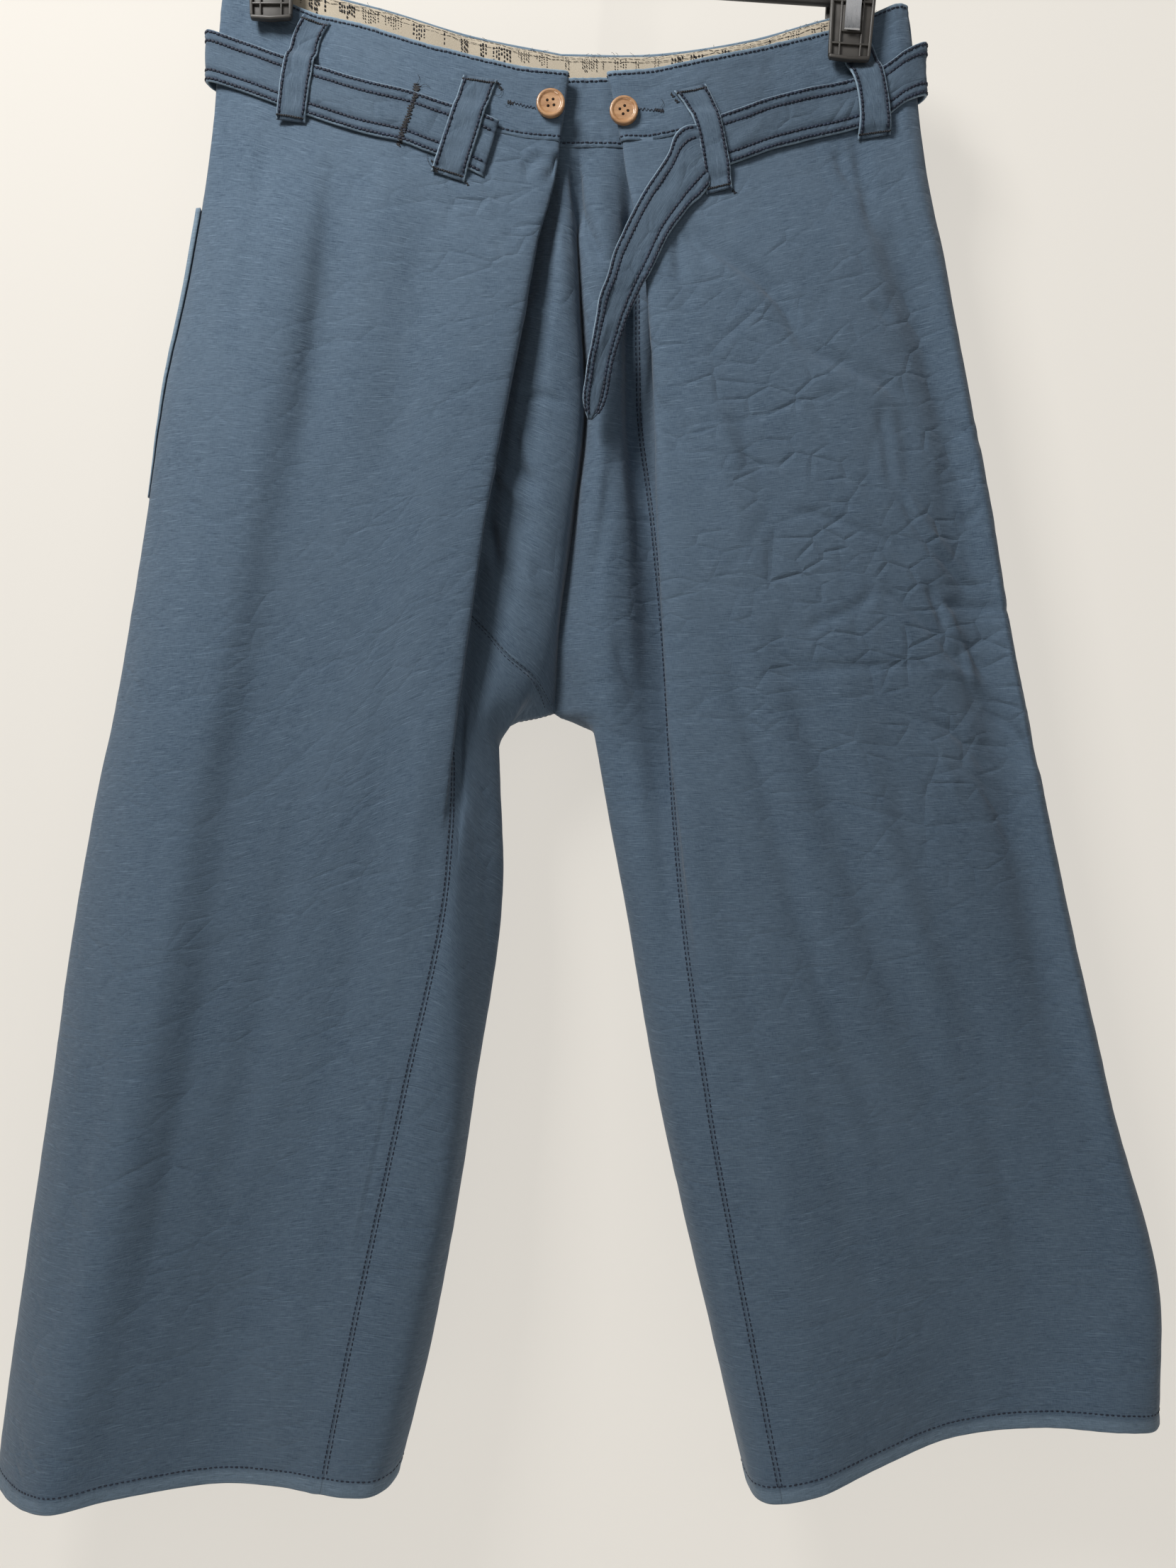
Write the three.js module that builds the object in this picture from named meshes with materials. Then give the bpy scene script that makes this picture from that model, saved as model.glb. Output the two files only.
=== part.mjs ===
// Wide-legged casual pants that hang from a hanger with two clips.
// Millimetres, +Z up. The front faces -Y, and +X is to the right of a viewer who faces the front.
// The origin is the point where the hook of the hanger hangs.

import * as THREE from "three";
import { RoundedBoxGeometry } from "three/addons/geometries/RoundedBoxGeometry.js";

// Cloth
const clothThickness = 1.3;
const bandThickness = 2.4;
const facingThickness = 1.0;
const beltThickness = 2.2;
const loopThickness = 1.6;
const pocketThickness = 1.2;
const seamGap = 0.3;
const layerGap = 0.45; // between a piece and the cloth that it lies on
const bandHeight = 43;

// Fastenings
const buttonWidth = 18;
const buttonThickness = 3.2;
const buttonHoleWidth = 1.9;
const buttonHoleSpacing = 3.6;

// Hanger
const hangerTilt = 3.8; // degrees, lower at the viewer's right
const barLength = 424;
const barHeight = 14;
const barThickness = 5;
const barDrop = 126.5; // from the hook's hanging point to the middle of the bar
const hookWire = 4;
const hookRadius = 19;
const clipWidth = 30;
const clipHeight = 62;
const jawThickness = 5;
const clipBelowBar = 54; // from the middle of the bar to the bottom of a clip
const clips = [
  { name: "left", across: -181.5, frontJaw: 6.8, backJaw: 7.8 },
  { name: "right", across: 182.5, frontJaw: 8.6, backJaw: 8.8 },
];

// The lines that run down the cloth, in order round each half, from the back seam to the front centre.
// top, split and hem are the heights of the waist seam, the crotch row and the hem on each line.
// leanX and leanY say how far the waistband's top edge stands from its bottom edge.
// steps are the columns of points from a line to the next one.
const leftLines = [
  { name: "inner", top: -209, split: -603, hem: -1089, leanX: 0, leanY: -2, steps: 2 },
  { name: "quarter", top: -198, split: -603, hem: -1090, leanX: 0, leanY: -2.5, steps: 2 },
  { name: "backMiddle", top: -185, split: -603, hem: -1091, leanX: 0, leanY: -3, steps: 2 },
  { name: "outer", top: -175, split: -603, hem: -1093, leanX: 2, leanY: -1.8, steps: 2 },
  { name: "turn", top: -174, split: -603, hem: -1096, leanX: 5, leanY: -0.4, steps: 2 },
  { name: "side", top: -174, split: -603, hem: -1096, leanX: 4, leanY: 0, steps: 2 },
  { name: "flank", top: -180, split: -602, hem: -1098, leanX: 2, leanY: 1, steps: 2 },
  { name: "ridge", top: -196, split: -598, hem: -1096, leanX: 0, leanY: 3, steps: 2 },
  { name: "valley", top: -205, split: -592, hem: -1094, leanX: 0, leanY: 1.5, steps: 2 },
  { name: "middle", top: -224, split: -572, hem: -1094, leanX: 0, leanY: 1, steps: 2 },
  { name: "shoulder", top: -239, split: -546, hem: -1094, leanX: 5, leanY: 0, steps: 3 },
  { name: "foldEdge", top: -241, split: -538, hem: -1094, leanX: 6, leanY: 0, steps: 2 },
  { name: "under", top: -241, split: -537, hem: -1094, leanX: 6, leanY: 0, steps: 1 },
  { name: "seam", top: -241, split: -536, hem: -1094, leanX: 5, leanY: 0, steps: 2 },
  { name: "deep", top: -240.5, split: -541, hem: -1094, leanX: 0, leanY: 0, steps: 1 },
  { name: "nearFold", top: -240, split: -553, hem: -1095, leanX: 0, leanY: 0, steps: 2 },
  { name: "foldTop", top: -240, split: -568, hem: -1095, leanX: 0, leanY: 0, steps: 2 },
  { name: "farFold", top: -240, split: -582, hem: -1091, leanX: 0, leanY: 0, steps: 2 },
  { name: "centre", top: -240, split: -603, hem: -1089, leanX: 0, leanY: 0, steps: 0 },
];

const rightLines = [
  { name: "centre", top: -240, split: -603, hem: -1089, leanX: 0, leanY: 0, steps: 2 },
  { name: "nearFold", top: -240, split: -603, hem: -1093, leanX: 0, leanY: 0, steps: 2 },
  { name: "foldTop", top: -240, split: -603, hem: -1097, leanX: 0, leanY: 0, steps: 2 },
  { name: "farFold", top: -240, split: -603, hem: -1097, leanX: 0, leanY: 0, steps: 2 },
  { name: "deep", top: -240.5, split: -603, hem: -1096, leanX: 0, leanY: 0, steps: 2 },
  { name: "seam", top: -241, split: -603, hem: -1095, leanX: -9, leanY: 0, steps: 1 },
  { name: "under", top: -241, split: -603, hem: -1094, leanX: -10, leanY: 0, steps: 2 },
  { name: "foldEdge", top: -241, split: -603, hem: -1093, leanX: -10, leanY: 0, steps: 3 },
  { name: "shoulder", top: -240, split: -603, hem: -1090, leanX: -4, leanY: 0, steps: 2 },
  { name: "middle", top: -232, split: -603, hem: -1081, leanX: -1, leanY: 0, steps: 2 },
  { name: "outerMiddle", top: -219, split: -603, hem: -1068, leanX: 0, leanY: 1.5, steps: 3 },
  { name: "band", top: -204, split: -603, hem: -1059, leanX: 0, leanY: 2.6, steps: 2 },
  { name: "valley", top: -193, split: -603, hem: -1057, leanX: -3, leanY: 1.5, steps: 1 },
  { name: "ridge", top: -189, split: -603, hem: -1059, leanX: -4, leanY: 1, steps: 2 },
  { name: "side", top: -188, split: -603, hem: -1061, leanX: -5, leanY: 0, steps: 2 },
  { name: "turn", top: -188, split: -603, hem: -1061, leanX: -6, leanY: -0.4, steps: 2 },
  { name: "outer", top: -194, split: -603, hem: -1061, leanX: -2, leanY: -2.2, steps: 2 },
  { name: "backMiddle", top: -206, split: -603, hem: -1066, leanX: 0, leanY: -3, steps: 2 },
  { name: "quarter", top: -210, split: -603, hem: -1080, leanX: 0, leanY: -2.5, steps: 2 },
  { name: "inner", top: -209, split: -603, hem: -1089, leanX: 0, leanY: -2, steps: 0 },
];

// Where the lines lie. Each row is a level, and each pair is a line's place across and its depth there.
const leftFront = {
  columns: ["side", "flank", "ridge", "valley", "middle"],
  rows: [
    [-170, [-221, 0], [-198, -3.4], [-157, -4.2], [-128, -8], [-80, -15]],
    [-245, [-228, 0], [-203, -8], [-160, -13], [-134, -15], [-80, -19]],
    [-320, [-240, 0], [-211, -18], [-167, -28], [-142, -22], [-88, -25]],
    [-400, [-257, 0], [-227, -21], [-181, -32], [-156, -25], [-102, -28]],
    [-480, [-269, 0], [-240, -23], [-197, -34], [-171, -27], [-116, -29]],
    [-560, [-281, 0], [-254, -24], [-211, -36], [-185, -28], [-129, -29]],
    [-610, [-290, 0], [-263, -25], [-220, -38], [-194, -29], [-138, -29]],
    [-650, [-299, 0], [-272, -25], [-228, -39], [-202, -30], [-145, -29]],
    [-700, [-308, 0], [-280, -26], [-236, -41], [-209, -31], [-152, -28]],
    [-850, [-331, 0], [-305, -28], [-262, -45], [-234, -34], [-178, -23]],
    [-1000, [-353, 0], [-329, -29], [-293, -48], [-263, -36], [-208, -18]],
    [-1100, [-366, 0], [-345, -30], [-314, -49], [-282, -37], [-220, -16]],
  ],
};

const leftFlap = {
  columns: ["shoulder", "foldEdge", "under", "seam"],
  rows: [
    [-170, [-26, -18], [0, -18], [-3, -13.5], [-13, -12]],
    [-245, [-26, -20], [-1, -18], [-4, -13.5], [-13, -11.3]],
    [-320, [-42, -28], [-17, -25], [-20, -14], [-27, -6]],
    [-400, [-58, -32], [-32, -29], [-36, -17], [-42, -8]],
    [-480, [-72, -33], [-46, -31], [-50, -19], [-56, -9]],
    [-560, [-84, -34], [-58, -31], [-61, -20], [-65, -12]],
    [-610, [-91, -34], [-65, -31], [-67, -22], [-69, -17]],
    [-650, [-95, -34], [-70, -31], [-70, -27], [-68, -23]],
    [-700, [-101, -33], [-79, -32], [-74, -31.5], [-70, -30]],
    [-850, [-130, -29], [-110, -31], [-104, -32], [-99, -32]],
    [-1000, [-162, -26], [-143, -29], [-136, -30], [-131, -31]],
    [-1100, [-182, -19], [-163, -25], [-156, -28], [-151, -29]],
  ],
};

const leftInside = {
  columns: ["deep", "nearFold", "foldTop", "farFold", "centre"],
  rows: [
    [-240, [-9, -8.5], [-3, -8.5], [2, -8.5], [7, -8.5], [12, -8.5]],
    [-275, [-14, -3], [-6, -6], [0, -9], [6, -8], [11, -2]],
    [-320, [-20, -1], [-11, -8], [0, -13], [8, -9], [12, 4]],
    [-400, [-35, -2], [-27, -8], [-8, -14], [12, -8], [16, 6]],
    [-480, [-49, -2], [-37, -9], [-16, -14], [3, -9], [8, 6]],
    [-552, [-60, -5], [-47, -9], [-30, -12], [-8, -5], [-2, 8]],
    [-603, [-63, -12], [-56, -14], [-46, -12], [-29, -2], [-5, 21]],
    [-609, [-63, -13], [-57, -15], [-49, -12], [-36, -1], [-30, 19]],
    [-620, [-64, -15], [-59, -17], [-51, -12], [-41, 0], [-43, 13]],
    [-650, [-64, -19], [-59, -19], [-50, -12], [-40, 0], [-43, 14]],
    [-700, [-66, -28.5], [-62, -26], [-50, -14], [-38, 0], [-43, 14]],
    [-850, [-84, -34], [-67, -30], [-58, -15], [-56, -3], [-62, 12]],
    [-1000, [-115, -34], [-95, -31], [-85, -18], [-82, -6], [-88, 10]],
    [-1100, [-138, -33], [-120, -31], [-110, -19], [-106, -6], [-112, 10]],
  ],
};

const leftBack = {
  columns: ["inner", "quarter", "backMiddle", "outer", "turn"],
  rows: [
    [-130, [0, 19], [-60, 17], [-120, 9], [-178, 4.2], [-211, 4.5]],
    [-210, [0, 21], [-60, 20], [-120, 12], [-181, 6], [-219, 6]],
    [-300, [0, 27], [-62, 28], [-128, 24], [-198, 20], [-234, 9]],
    [-400, [0, 31], [-66, 33], [-138, 31], [-212, 26], [-250, 11]],
    [-560, [-3, 30], [-75, 36], [-152, 36], [-230, 28], [-272, 12]],
    [-603, [-5, 23], [-80, 35], [-158, 37], [-236, 28], [-280, 12]],
    [-609, [-30, 20], [-84, 34], [-160, 37], [-238, 28], [-281, 12]],
    [-620, [-43, 14], [-86, 32], [-162, 37], [-240, 28], [-283, 12]],
    [-700, [-43, 15], [-92, 32], [-170, 37], [-250, 30], [-298, 13]],
    [-850, [-62, 13], [-112, 31], [-190, 36], [-272, 32], [-321, 14]],
    [-1000, [-88, 11], [-140, 29], [-214, 33], [-294, 33], [-342, 15]],
    [-1100, [-112, 11], [-162, 28], [-234, 30], [-310, 34], [-355, 15]],
  ],
};

const rightInside = {
  columns: ["centre", "nearFold", "foldTop", "farFold", "deep"],
  rows: [
    [-240, [12, -8.5], [16, -8.5], [24, -8.5], [33, -8.5], [45, -8.5]],
    [-275, [11, -2], [14, -7], [25, -10], [36, -7], [45, -1]],
    [-320, [12, 4], [16, -7], [27, -13], [38, -8], [43, 6]],
    [-400, [16, 6], [22, -7], [29, -13], [37, -8], [43, 7]],
    [-480, [8, 6], [13, -6], [25, -13], [41, -8], [51, 5]],
    [-552, [-2, 8], [12, -4], [28, -12], [43, -8], [56, 3]],
    [-603, [-5, 21], [19, -3], [31, -10], [44, -7], [58, 1]],
    [-609, [8, 19], [21, -2], [32, -10], [45, -7], [59, 0]],
    [-620, [28, 14], [23, -2], [34, -9], [46, -8], [60, -1]],
    [-700, [43, 14], [37, -1], [44, -12], [55, -18], [67, -17]],
    [-850, [69, 12], [63, -3], [66, -13], [72, -21], [82, -26]],
    [-1000, [103, 10], [97, -4], [98, -13], [102, -21], [110, -28]],
    [-1100, [126, 8], [120, -6], [121, -17], [124, -29], [131, -37]],
  ],
};

const rightFlap = {
  columns: ["seam", "under", "foldEdge", "shoulder"],
  rows: [
    [-170, [51, -12], [42, -13.5], [38, -18], [62, -18]],
    [-245, [51, -11.3], [44, -13.5], [40, -18], [62, -20]],
    [-320, [50, 3], [57, -10], [53, -25], [75, -28]],
    [-400, [51, 9], [61, -6], [60, -27], [84, -32]],
    [-480, [60, 7], [66, -7], [62, -28], [88, -34]],
    [-560, [67, 5], [70, -9], [65, -29], [92, -35]],
    [-610, [70, 2], [73, -12], [68, -29], [96, -35]],
    [-700, [75, -19], [78, -25], [79, -31], [105, -35]],
    [-850, [93, -29], [97, -31], [102, -32], [128, -35]],
    [-1000, [120, -32], [124, -33], [130, -34], [152, -36]],
    [-1100, [139, -39], [144, -40], [150, -40], [167, -37]],
  ],
};

const rightFront = {
  columns: ["middle", "outerMiddle", "band", "valley", "ridge", "side"],
  rows: [
    [-170, [95, -15], [135, -7.5], [180, -4.2], [208, -3.6], [219, -3.4], [227, 0]],
    [-245, [95, -20], [137, -14.5], [184, -9], [214, -7], [227, -7], [235, 0]],
    [-320, [108, -28], [150, -26], [198, -20], [229, -11], [243, -11], [250, 0]],
    [-400, [120, -32], [163, -29], [212, -22], [245, -12], [259, -13], [266, 0]],
    [-480, [127, -34], [173, -30], [224, -22], [259, -12], [273, -14], [280, 0]],
    [-560, [134, -35], [183, -31], [237, -22], [273, -12], [287, -15], [294, 0]],
    [-610, [139, -35], [190, -30], [245, -21], [283, -12], [297, -15], [304, 0]],
    [-700, [150, -34], [203, -29], [260, -21], [300, -13], [314, -16], [322, 0]],
    [-850, [171, -32], [226, -24], [287, -18], [331, -15], [346, -18], [354, 0]],
    [-1000, [192, -29], [246, -16], [312, -14], [360, -22], [378, -20], [387, 0]],
    [-1100, [205, -20], [253, -6], [300, -17], [345, -31], [374, -22], [386, 0]],
  ],
};

const rightBack = {
  columns: ["turn", "outer", "backMiddle", "quarter", "inner"],
  rows: [
    [-130, [217, 4.5], [178, 4.2], [120, 9], [60, 17], [0, 19]],
    [-210, [227, 6], [181, 6], [122, 12], [60, 20], [0, 21]],
    [-300, [243, 9], [202, 20], [130, 24], [62, 28], [0, 27]],
    [-400, [259, 11], [216, 26], [140, 31], [66, 33], [0, 31]],
    [-560, [286, 12], [242, 28], [156, 36], [74, 36], [-3, 30]],
    [-603, [294, 12], [248, 28], [162, 37], [78, 35], [-5, 23]],
    [-609, [295, 12], [249, 28], [163, 37], [80, 34], [8, 20]],
    [-620, [297, 12], [251, 28], [165, 37], [82, 32], [28, 15]],
    [-700, [312, 13], [266, 30], [178, 37], [94, 32], [43, 15]],
    [-850, [344, 14], [298, 32], [206, 36], [120, 31], [69, 13]],
    [-1000, [376, 15], [330, 33], [240, 33], [154, 29], [103, 11]],
    [-1100, [375, 15], [334, 34], [252, 30], [176, 28], [126, 9]],
  ],
};

// Rows of points down the cloth, as shares of the way from the waist to the crotch row and on to the hem.
const sharesAbove = [0, 0.06, 0.14, 0.24, 0.35, 0.46, 0.57, 0.68, 0.79, 0.9, 1];
const sharesBelow = [0.012, 0.034, 0.075, 0.14, 0.24, 0.36, 0.48, 0.6, 0.72, 0.84, 0.93, 1];
const crotchRow = sharesAbove.length - 1;

// The belt, in three runs that meet under the loops of the back. Each row is a station along it: its place
// across, the heights of its two edges, and the side of the cloth that it lies on (or its depth at a turn).
const beltLeft = [
  { across: -46, upper: -226, lower: -260, side: "front" },
  { across: -69, upper: -218, lower: -252, side: "front" },
  { across: -92, upper: -211, lower: -244, side: "front" },
  { across: -122, upper: -203, lower: -237, side: "front" },
  { across: -154, upper: -191, lower: -225, side: "front" },
  { across: -182, upper: -181, lower: -214, side: "front" },
  { across: -208, upper: -170, lower: -203, side: "front" },
  { across: -228.5, upper: -162, lower: -196, depth: -3 },
  { across: -228, upper: -162, lower: -196, depth: 5 },
  { across: -206, upper: -172, lower: -206, side: "back" },
  { across: -160, upper: -184, lower: -218, side: "back" },
  { across: -118, upper: -192, lower: -226, side: "back" },
];
const beltBack = [
  { across: -117.4, upper: -192, lower: -226, side: "back" },
  { across: -60, upper: -200, lower: -234, side: "back" },
  { across: 0, upper: -204, lower: -238, side: "back" },
  { across: 60, upper: -203, lower: -237, side: "back" },
  { across: 117.4, upper: -198, lower: -232, side: "back" },
];
const beltRight = [
  { across: 90, upper: -231, lower: -265, side: "front" },
  { across: 114, upper: -222, lower: -256, side: "front" },
  { across: 132, upper: -214, lower: -248, side: "front" },
  { across: 156, upper: -206, lower: -240, side: "front" },
  { across: 186, upper: -198, lower: -231, side: "front" },
  { across: 208, upper: -188, lower: -222, side: "front" },
  { across: 223, upper: -177, lower: -211, side: "front" },
  { across: 235.5, upper: -170, lower: -205, depth: -3 },
  { across: 235, upper: -170, lower: -205, depth: 5 },
  { across: 216, upper: -180, lower: -214, side: "back" },
  { across: 190, upper: -197, lower: -231, side: "back" },
  { across: 160, upper: -198, lower: -232, side: "back" },
  { across: 118, upper: -198, lower: -232, side: "back" },
];
// The free end, from where it leaves the loop down to its tip: its two edges, as across and height.
const beltTie = [
  { left: [79, -235], right: [88, -271], depth: -25.6 },
  { left: [74, -245], right: [89, -277], depth: -26.2 },
  { left: [65, -258], right: [83, -286], depth: -27.4 },
  { left: [50, -281], right: [74, -298], depth: -29.2 },
  { left: [39, -305], right: [64, -317], depth: -30.6 },
  { left: [29, -332], right: [53, -341], depth: -30.8 },
  { left: [22, -361], right: [42, -366], depth: -29.6 },
  { left: [16, -390], right: [33, -392], depth: -28 },
  { left: [14, -409], right: [29, -411], depth: -26.6 },
  { left: [16, -423], right: [20, -424], depth: -25.6 },
];

// The belt loops: the middles of the two ends, as across and height, and the side that they are on.
const loopWidth = 20;
const loops = [
  { name: "loop_1", upper: [-155, -166], lower: [-170, -233], side: "front" },
  { name: "loop_2", upper: [-51, -202], lower: [-71, -268], side: "front" },
  { name: "loop_3", upper: [83, -207], lower: [101, -277], side: "front" },
  { name: "loop_4", upper: [191, -196], lower: [199, -241], side: "front" },
  { name: "loop_5", upper: [-118, -155], lower: [-118, -228], side: "back" },
  { name: "loop_6", upper: [0, -176], lower: [0, -250], side: "back" },
  { name: "loop_7", upper: [118, -172], lower: [118, -242], side: "back" },
];

const buttons = [
  { name: "button_left", across: -6, height: -220 },
  { name: "button_right", across: 41, height: -224 },
];

// The patch pocket on the back lies on these rows of the panel's points, from this line to the side.
const pocket = { firstRow: 3, lastRow: 7, innerLine: "backMiddle" };

// Finishes
const finishes = {
  cloth: { color: 0x6b8299, roughness: 0.92, metalness: 0 },
  trim: { color: 0x5d738a, roughness: 0.92, metalness: 0 },
  facing: { color: 0xe6dcc9, roughness: 0.9, metalness: 0 },
  button: { color: 0xa9734a, roughness: 0.4, metalness: 0 },
  plastic: { color: 0x1d1c1c, roughness: 0.45, metalness: 0 },
  steel: { color: 0xb9bcc0, roughness: 0.3, metalness: 1 },
};

const pants = new THREE.Group();

function addMesh(name, geometry, finish, parent = pants) {
  const mesh = new THREE.Mesh(geometry, new THREE.MeshStandardMaterial(finishes[finish]));
  mesh.name = name;
  parent.add(mesh);
  return mesh;
}

// A smooth value through the points (places[i], values[i]) that never swings past them. The places fall.
function smoothThrough(places, values, place) {
  const last = places.length - 1;
  if (place >= places[0]) return values[0];
  if (place <= places[last]) return values[last];
  let i = 0;
  while (place < places[i + 1]) i++;
  const slope = (k) => (values[k + 1] - values[k]) / (places[k + 1] - places[k]);
  const tangent = (k) => {
    if (k === 0 || k === last) return slope(Math.min(k, last - 1));
    const before = slope(k - 1);
    const after = slope(k);
    return before * after <= 0 ? 0 : (2 * before * after) / (before + after);
  };
  const run = places[i + 1] - places[i];
  const t = (place - places[i]) / run;
  const t2 = t * t;
  const t3 = t2 * t;
  return (
    (2 * t3 - 3 * t2 + 1) * values[i] +
    (t3 - 2 * t2 + t) * run * tangent(i) +
    (3 * t2 - 2 * t3) * values[i + 1] +
    (t3 - t2) * run * tangent(i + 1)
  );
}

// The place of a named line at a height, from the first of the tables that has it.
function pointOnLine(tables, name, height) {
  const table = tables.find((t) => t.columns.includes(name));
  const column = table.columns.indexOf(name) + 1;
  const heights = table.rows.map((row) => row[0]);
  const part = (k) => smoothThrough(heights, table.rows.map((row) => row[column][k]), height);
  return new THREE.Vector3(part(0), part(1), height);
}

function heightOfRow(line, row) {
  if (row <= crotchRow) return THREE.MathUtils.lerp(line.top, line.split, sharesAbove[row]);
  return THREE.MathUtils.lerp(line.split, line.hem, sharesBelow[row - crotchRow - 1]);
}

// One half of the pants as rows of points that run round it, and the column where each line lies.
function makeHalf(lines, tables) {
  const columnOf = {};
  let column = 0;
  for (const line of lines) {
    columnOf[line.name] = column;
    column += line.steps;
  }
  const rowCount = sharesAbove.length + sharesBelow.length;
  const points = [];
  for (let row = 0; row < rowCount; row++) {
    const keys = lines.map((line) => pointOnLine(tables, line.name, heightOfRow(line, row)));
    points.push(smoothRow(keys, lines.map((line) => line.steps)));
  }
  return { points, columnOf };
}

// Points along a smooth curve through the keys, with the given number of steps after each key.
function smoothRow(keys, steps) {
  const curve = new THREE.CatmullRomCurve3(keys, false, "centripetal");
  const row = [];
  for (let k = 0; k < keys.length - 1; k++)
    for (let s = 0; s < steps[k]; s++) row.push(curve.getPoint((k + s / steps[k]) / (keys.length - 1)));
  row.push(keys[keys.length - 1].clone());
  return row;
}

// The outward direction at each point of a grid. before and after give the points past the ends of a row.
function outwardDirections(points, before, after) {
  return points.map((row, r) =>
    row.map((point, c) => {
      const left = c > 0 ? row[c - 1] : before(r) || point;
      const right = c < row.length - 1 ? row[c + 1] : after(r) || point;
      const up = points[Math.max(r - 1, 0)][c];
      const down = points[Math.min(r + 1, points.length - 1)][c];
      const along = right.clone().sub(left);
      return down.clone().sub(up).cross(along).normalize();
    }),
  );
}

function cutGrid(grid, firstRow, lastRow, firstColumn, lastColumn) {
  const cutRow = (row) => row.slice(firstColumn, lastColumn + 1);
  const cut = (rows) => rows.slice(firstRow, lastRow + 1).map(cutRow);
  return { points: cut(grid.points).map((row) => row.map((p) => p.clone())), outward: cut(grid.outward) };
}

// Draws the chosen edges of a grid in by half a seam gap. The edges are named as seen with row 0 on top.
function drawIn(grid, edges, distance = seamGap / 2) {
  const { points } = grid;
  const bottom = points.length - 1;
  const right = points[0].length - 1;
  const pull = (point, towards) => point.addScaledVector(towards.clone().sub(point).normalize(), distance);
  if (edges.includes("left")) points.forEach((row) => pull(row[0], row[1]));
  if (edges.includes("right")) points.forEach((row) => pull(row[right], row[right - 1]));
  if (edges.includes("top")) points[0].forEach((p, c) => pull(p, points[1][c]));
  if (edges.includes("bottom")) points[bottom].forEach((p, c) => pull(p, points[bottom - 1][c]));
  return grid;
}

// A closed wall round the kept squares of a grid: two faces, and a rim wherever the cloth ends.
function clothWall(grid, thickness, keep = () => true) {
  const { points, outward } = grid;
  const rows = points.length;
  const columns = points[0].length;
  const positions = [];
  for (const sign of [0.5, -0.5])
    for (let r = 0; r < rows; r++)
      for (let c = 0; c < columns; c++)
        positions.push(...points[r][c].clone().addScaledVector(outward[r][c], sign * thickness).toArray());
  const outer = (r, c) => r * columns + c;
  const innerOf = (index) => index + rows * columns;
  const kept = (r, c) => r >= 0 && c >= 0 && r < rows - 1 && c < columns - 1 && keep(r, c);
  const index = [];
  const rim = (p, q) => index.push(q, p, innerOf(p), q, innerOf(p), innerOf(q));
  for (let r = 0; r < rows - 1; r++)
    for (let c = 0; c < columns - 1; c++) {
      if (!kept(r, c)) continue;
      const [a, b, d, e] = [outer(r, c), outer(r, c + 1), outer(r + 1, c + 1), outer(r + 1, c)];
      index.push(a, e, d, a, d, b);
      index.push(innerOf(a), innerOf(d), innerOf(e), innerOf(a), innerOf(b), innerOf(d));
      if (!kept(r, c - 1)) rim(a, e);
      if (!kept(r + 1, c)) rim(e, d);
      if (!kept(r, c + 1)) rim(d, b);
      if (!kept(r - 1, c)) rim(b, a);
    }
  return geometryOf(positions, index);
}

// A geometry that keeps only the points that its triangles use.
function geometryOf(positions, index) {
  const used = new Map();
  const kept = [];
  const renumbered = index.map((old) => {
    if (!used.has(old)) {
      used.set(old, used.size);
      kept.push(...positions.slice(old * 3, old * 3 + 3));
    }
    return used.get(old);
  });
  const geometry = new THREE.BufferGeometry();
  geometry.setAttribute("position", new THREE.Float32BufferAttribute(kept, 3));
  geometry.setIndex(renumbered);
  geometry.computeVertexNormals();
  return geometry;
}

// Both halves, with outward directions that run on across the seams.
const left = makeHalf(leftLines, [leftBack, leftFront, leftFlap, leftInside]);
const right = makeHalf(rightLines, [rightInside, rightFlap, rightFront, rightBack]);
const lastColumn = (half) => half.points[0].length - 1;
const above = (row) => row <= crotchRow;
left.outward = outwardDirections(
  left.points,
  (r) => (above(r) ? right.points[r].at(-2) : left.points[r].at(-2)),
  (r) => (above(r) ? right.points[r][1] : left.points[r][1]),
);
right.outward = outwardDirections(
  right.points,
  (r) => (above(r) ? left.points[r].at(-2) : right.points[r].at(-2)),
  (r) => (above(r) ? left.points[r][1] : right.points[r][1]),
);

// The centre panel runs across both halves above the crotch, and down the inside of the right leg.
function centrePanelGrid() {
  const joined = { points: [], outward: [] };
  for (let r = 0; r < left.points.length; r++) {
    joined.points.push([
      ...left.points[r].slice(left.columnOf.seam, -1),
      ...right.points[r].slice(0, right.columnOf.seam + 1),
    ]);
    joined.outward.push([
      ...left.outward[r].slice(left.columnOf.seam, -1),
      ...right.outward[r].slice(0, right.columnOf.seam + 1),
    ]);
  }
  const leftColumns = lastColumn(left) - left.columnOf.seam;
  const grid = cutGrid(joined, 0, joined.points.length - 1, 0, joined.points[0].length - 1);
  return { grid, leftColumns };
}

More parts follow.
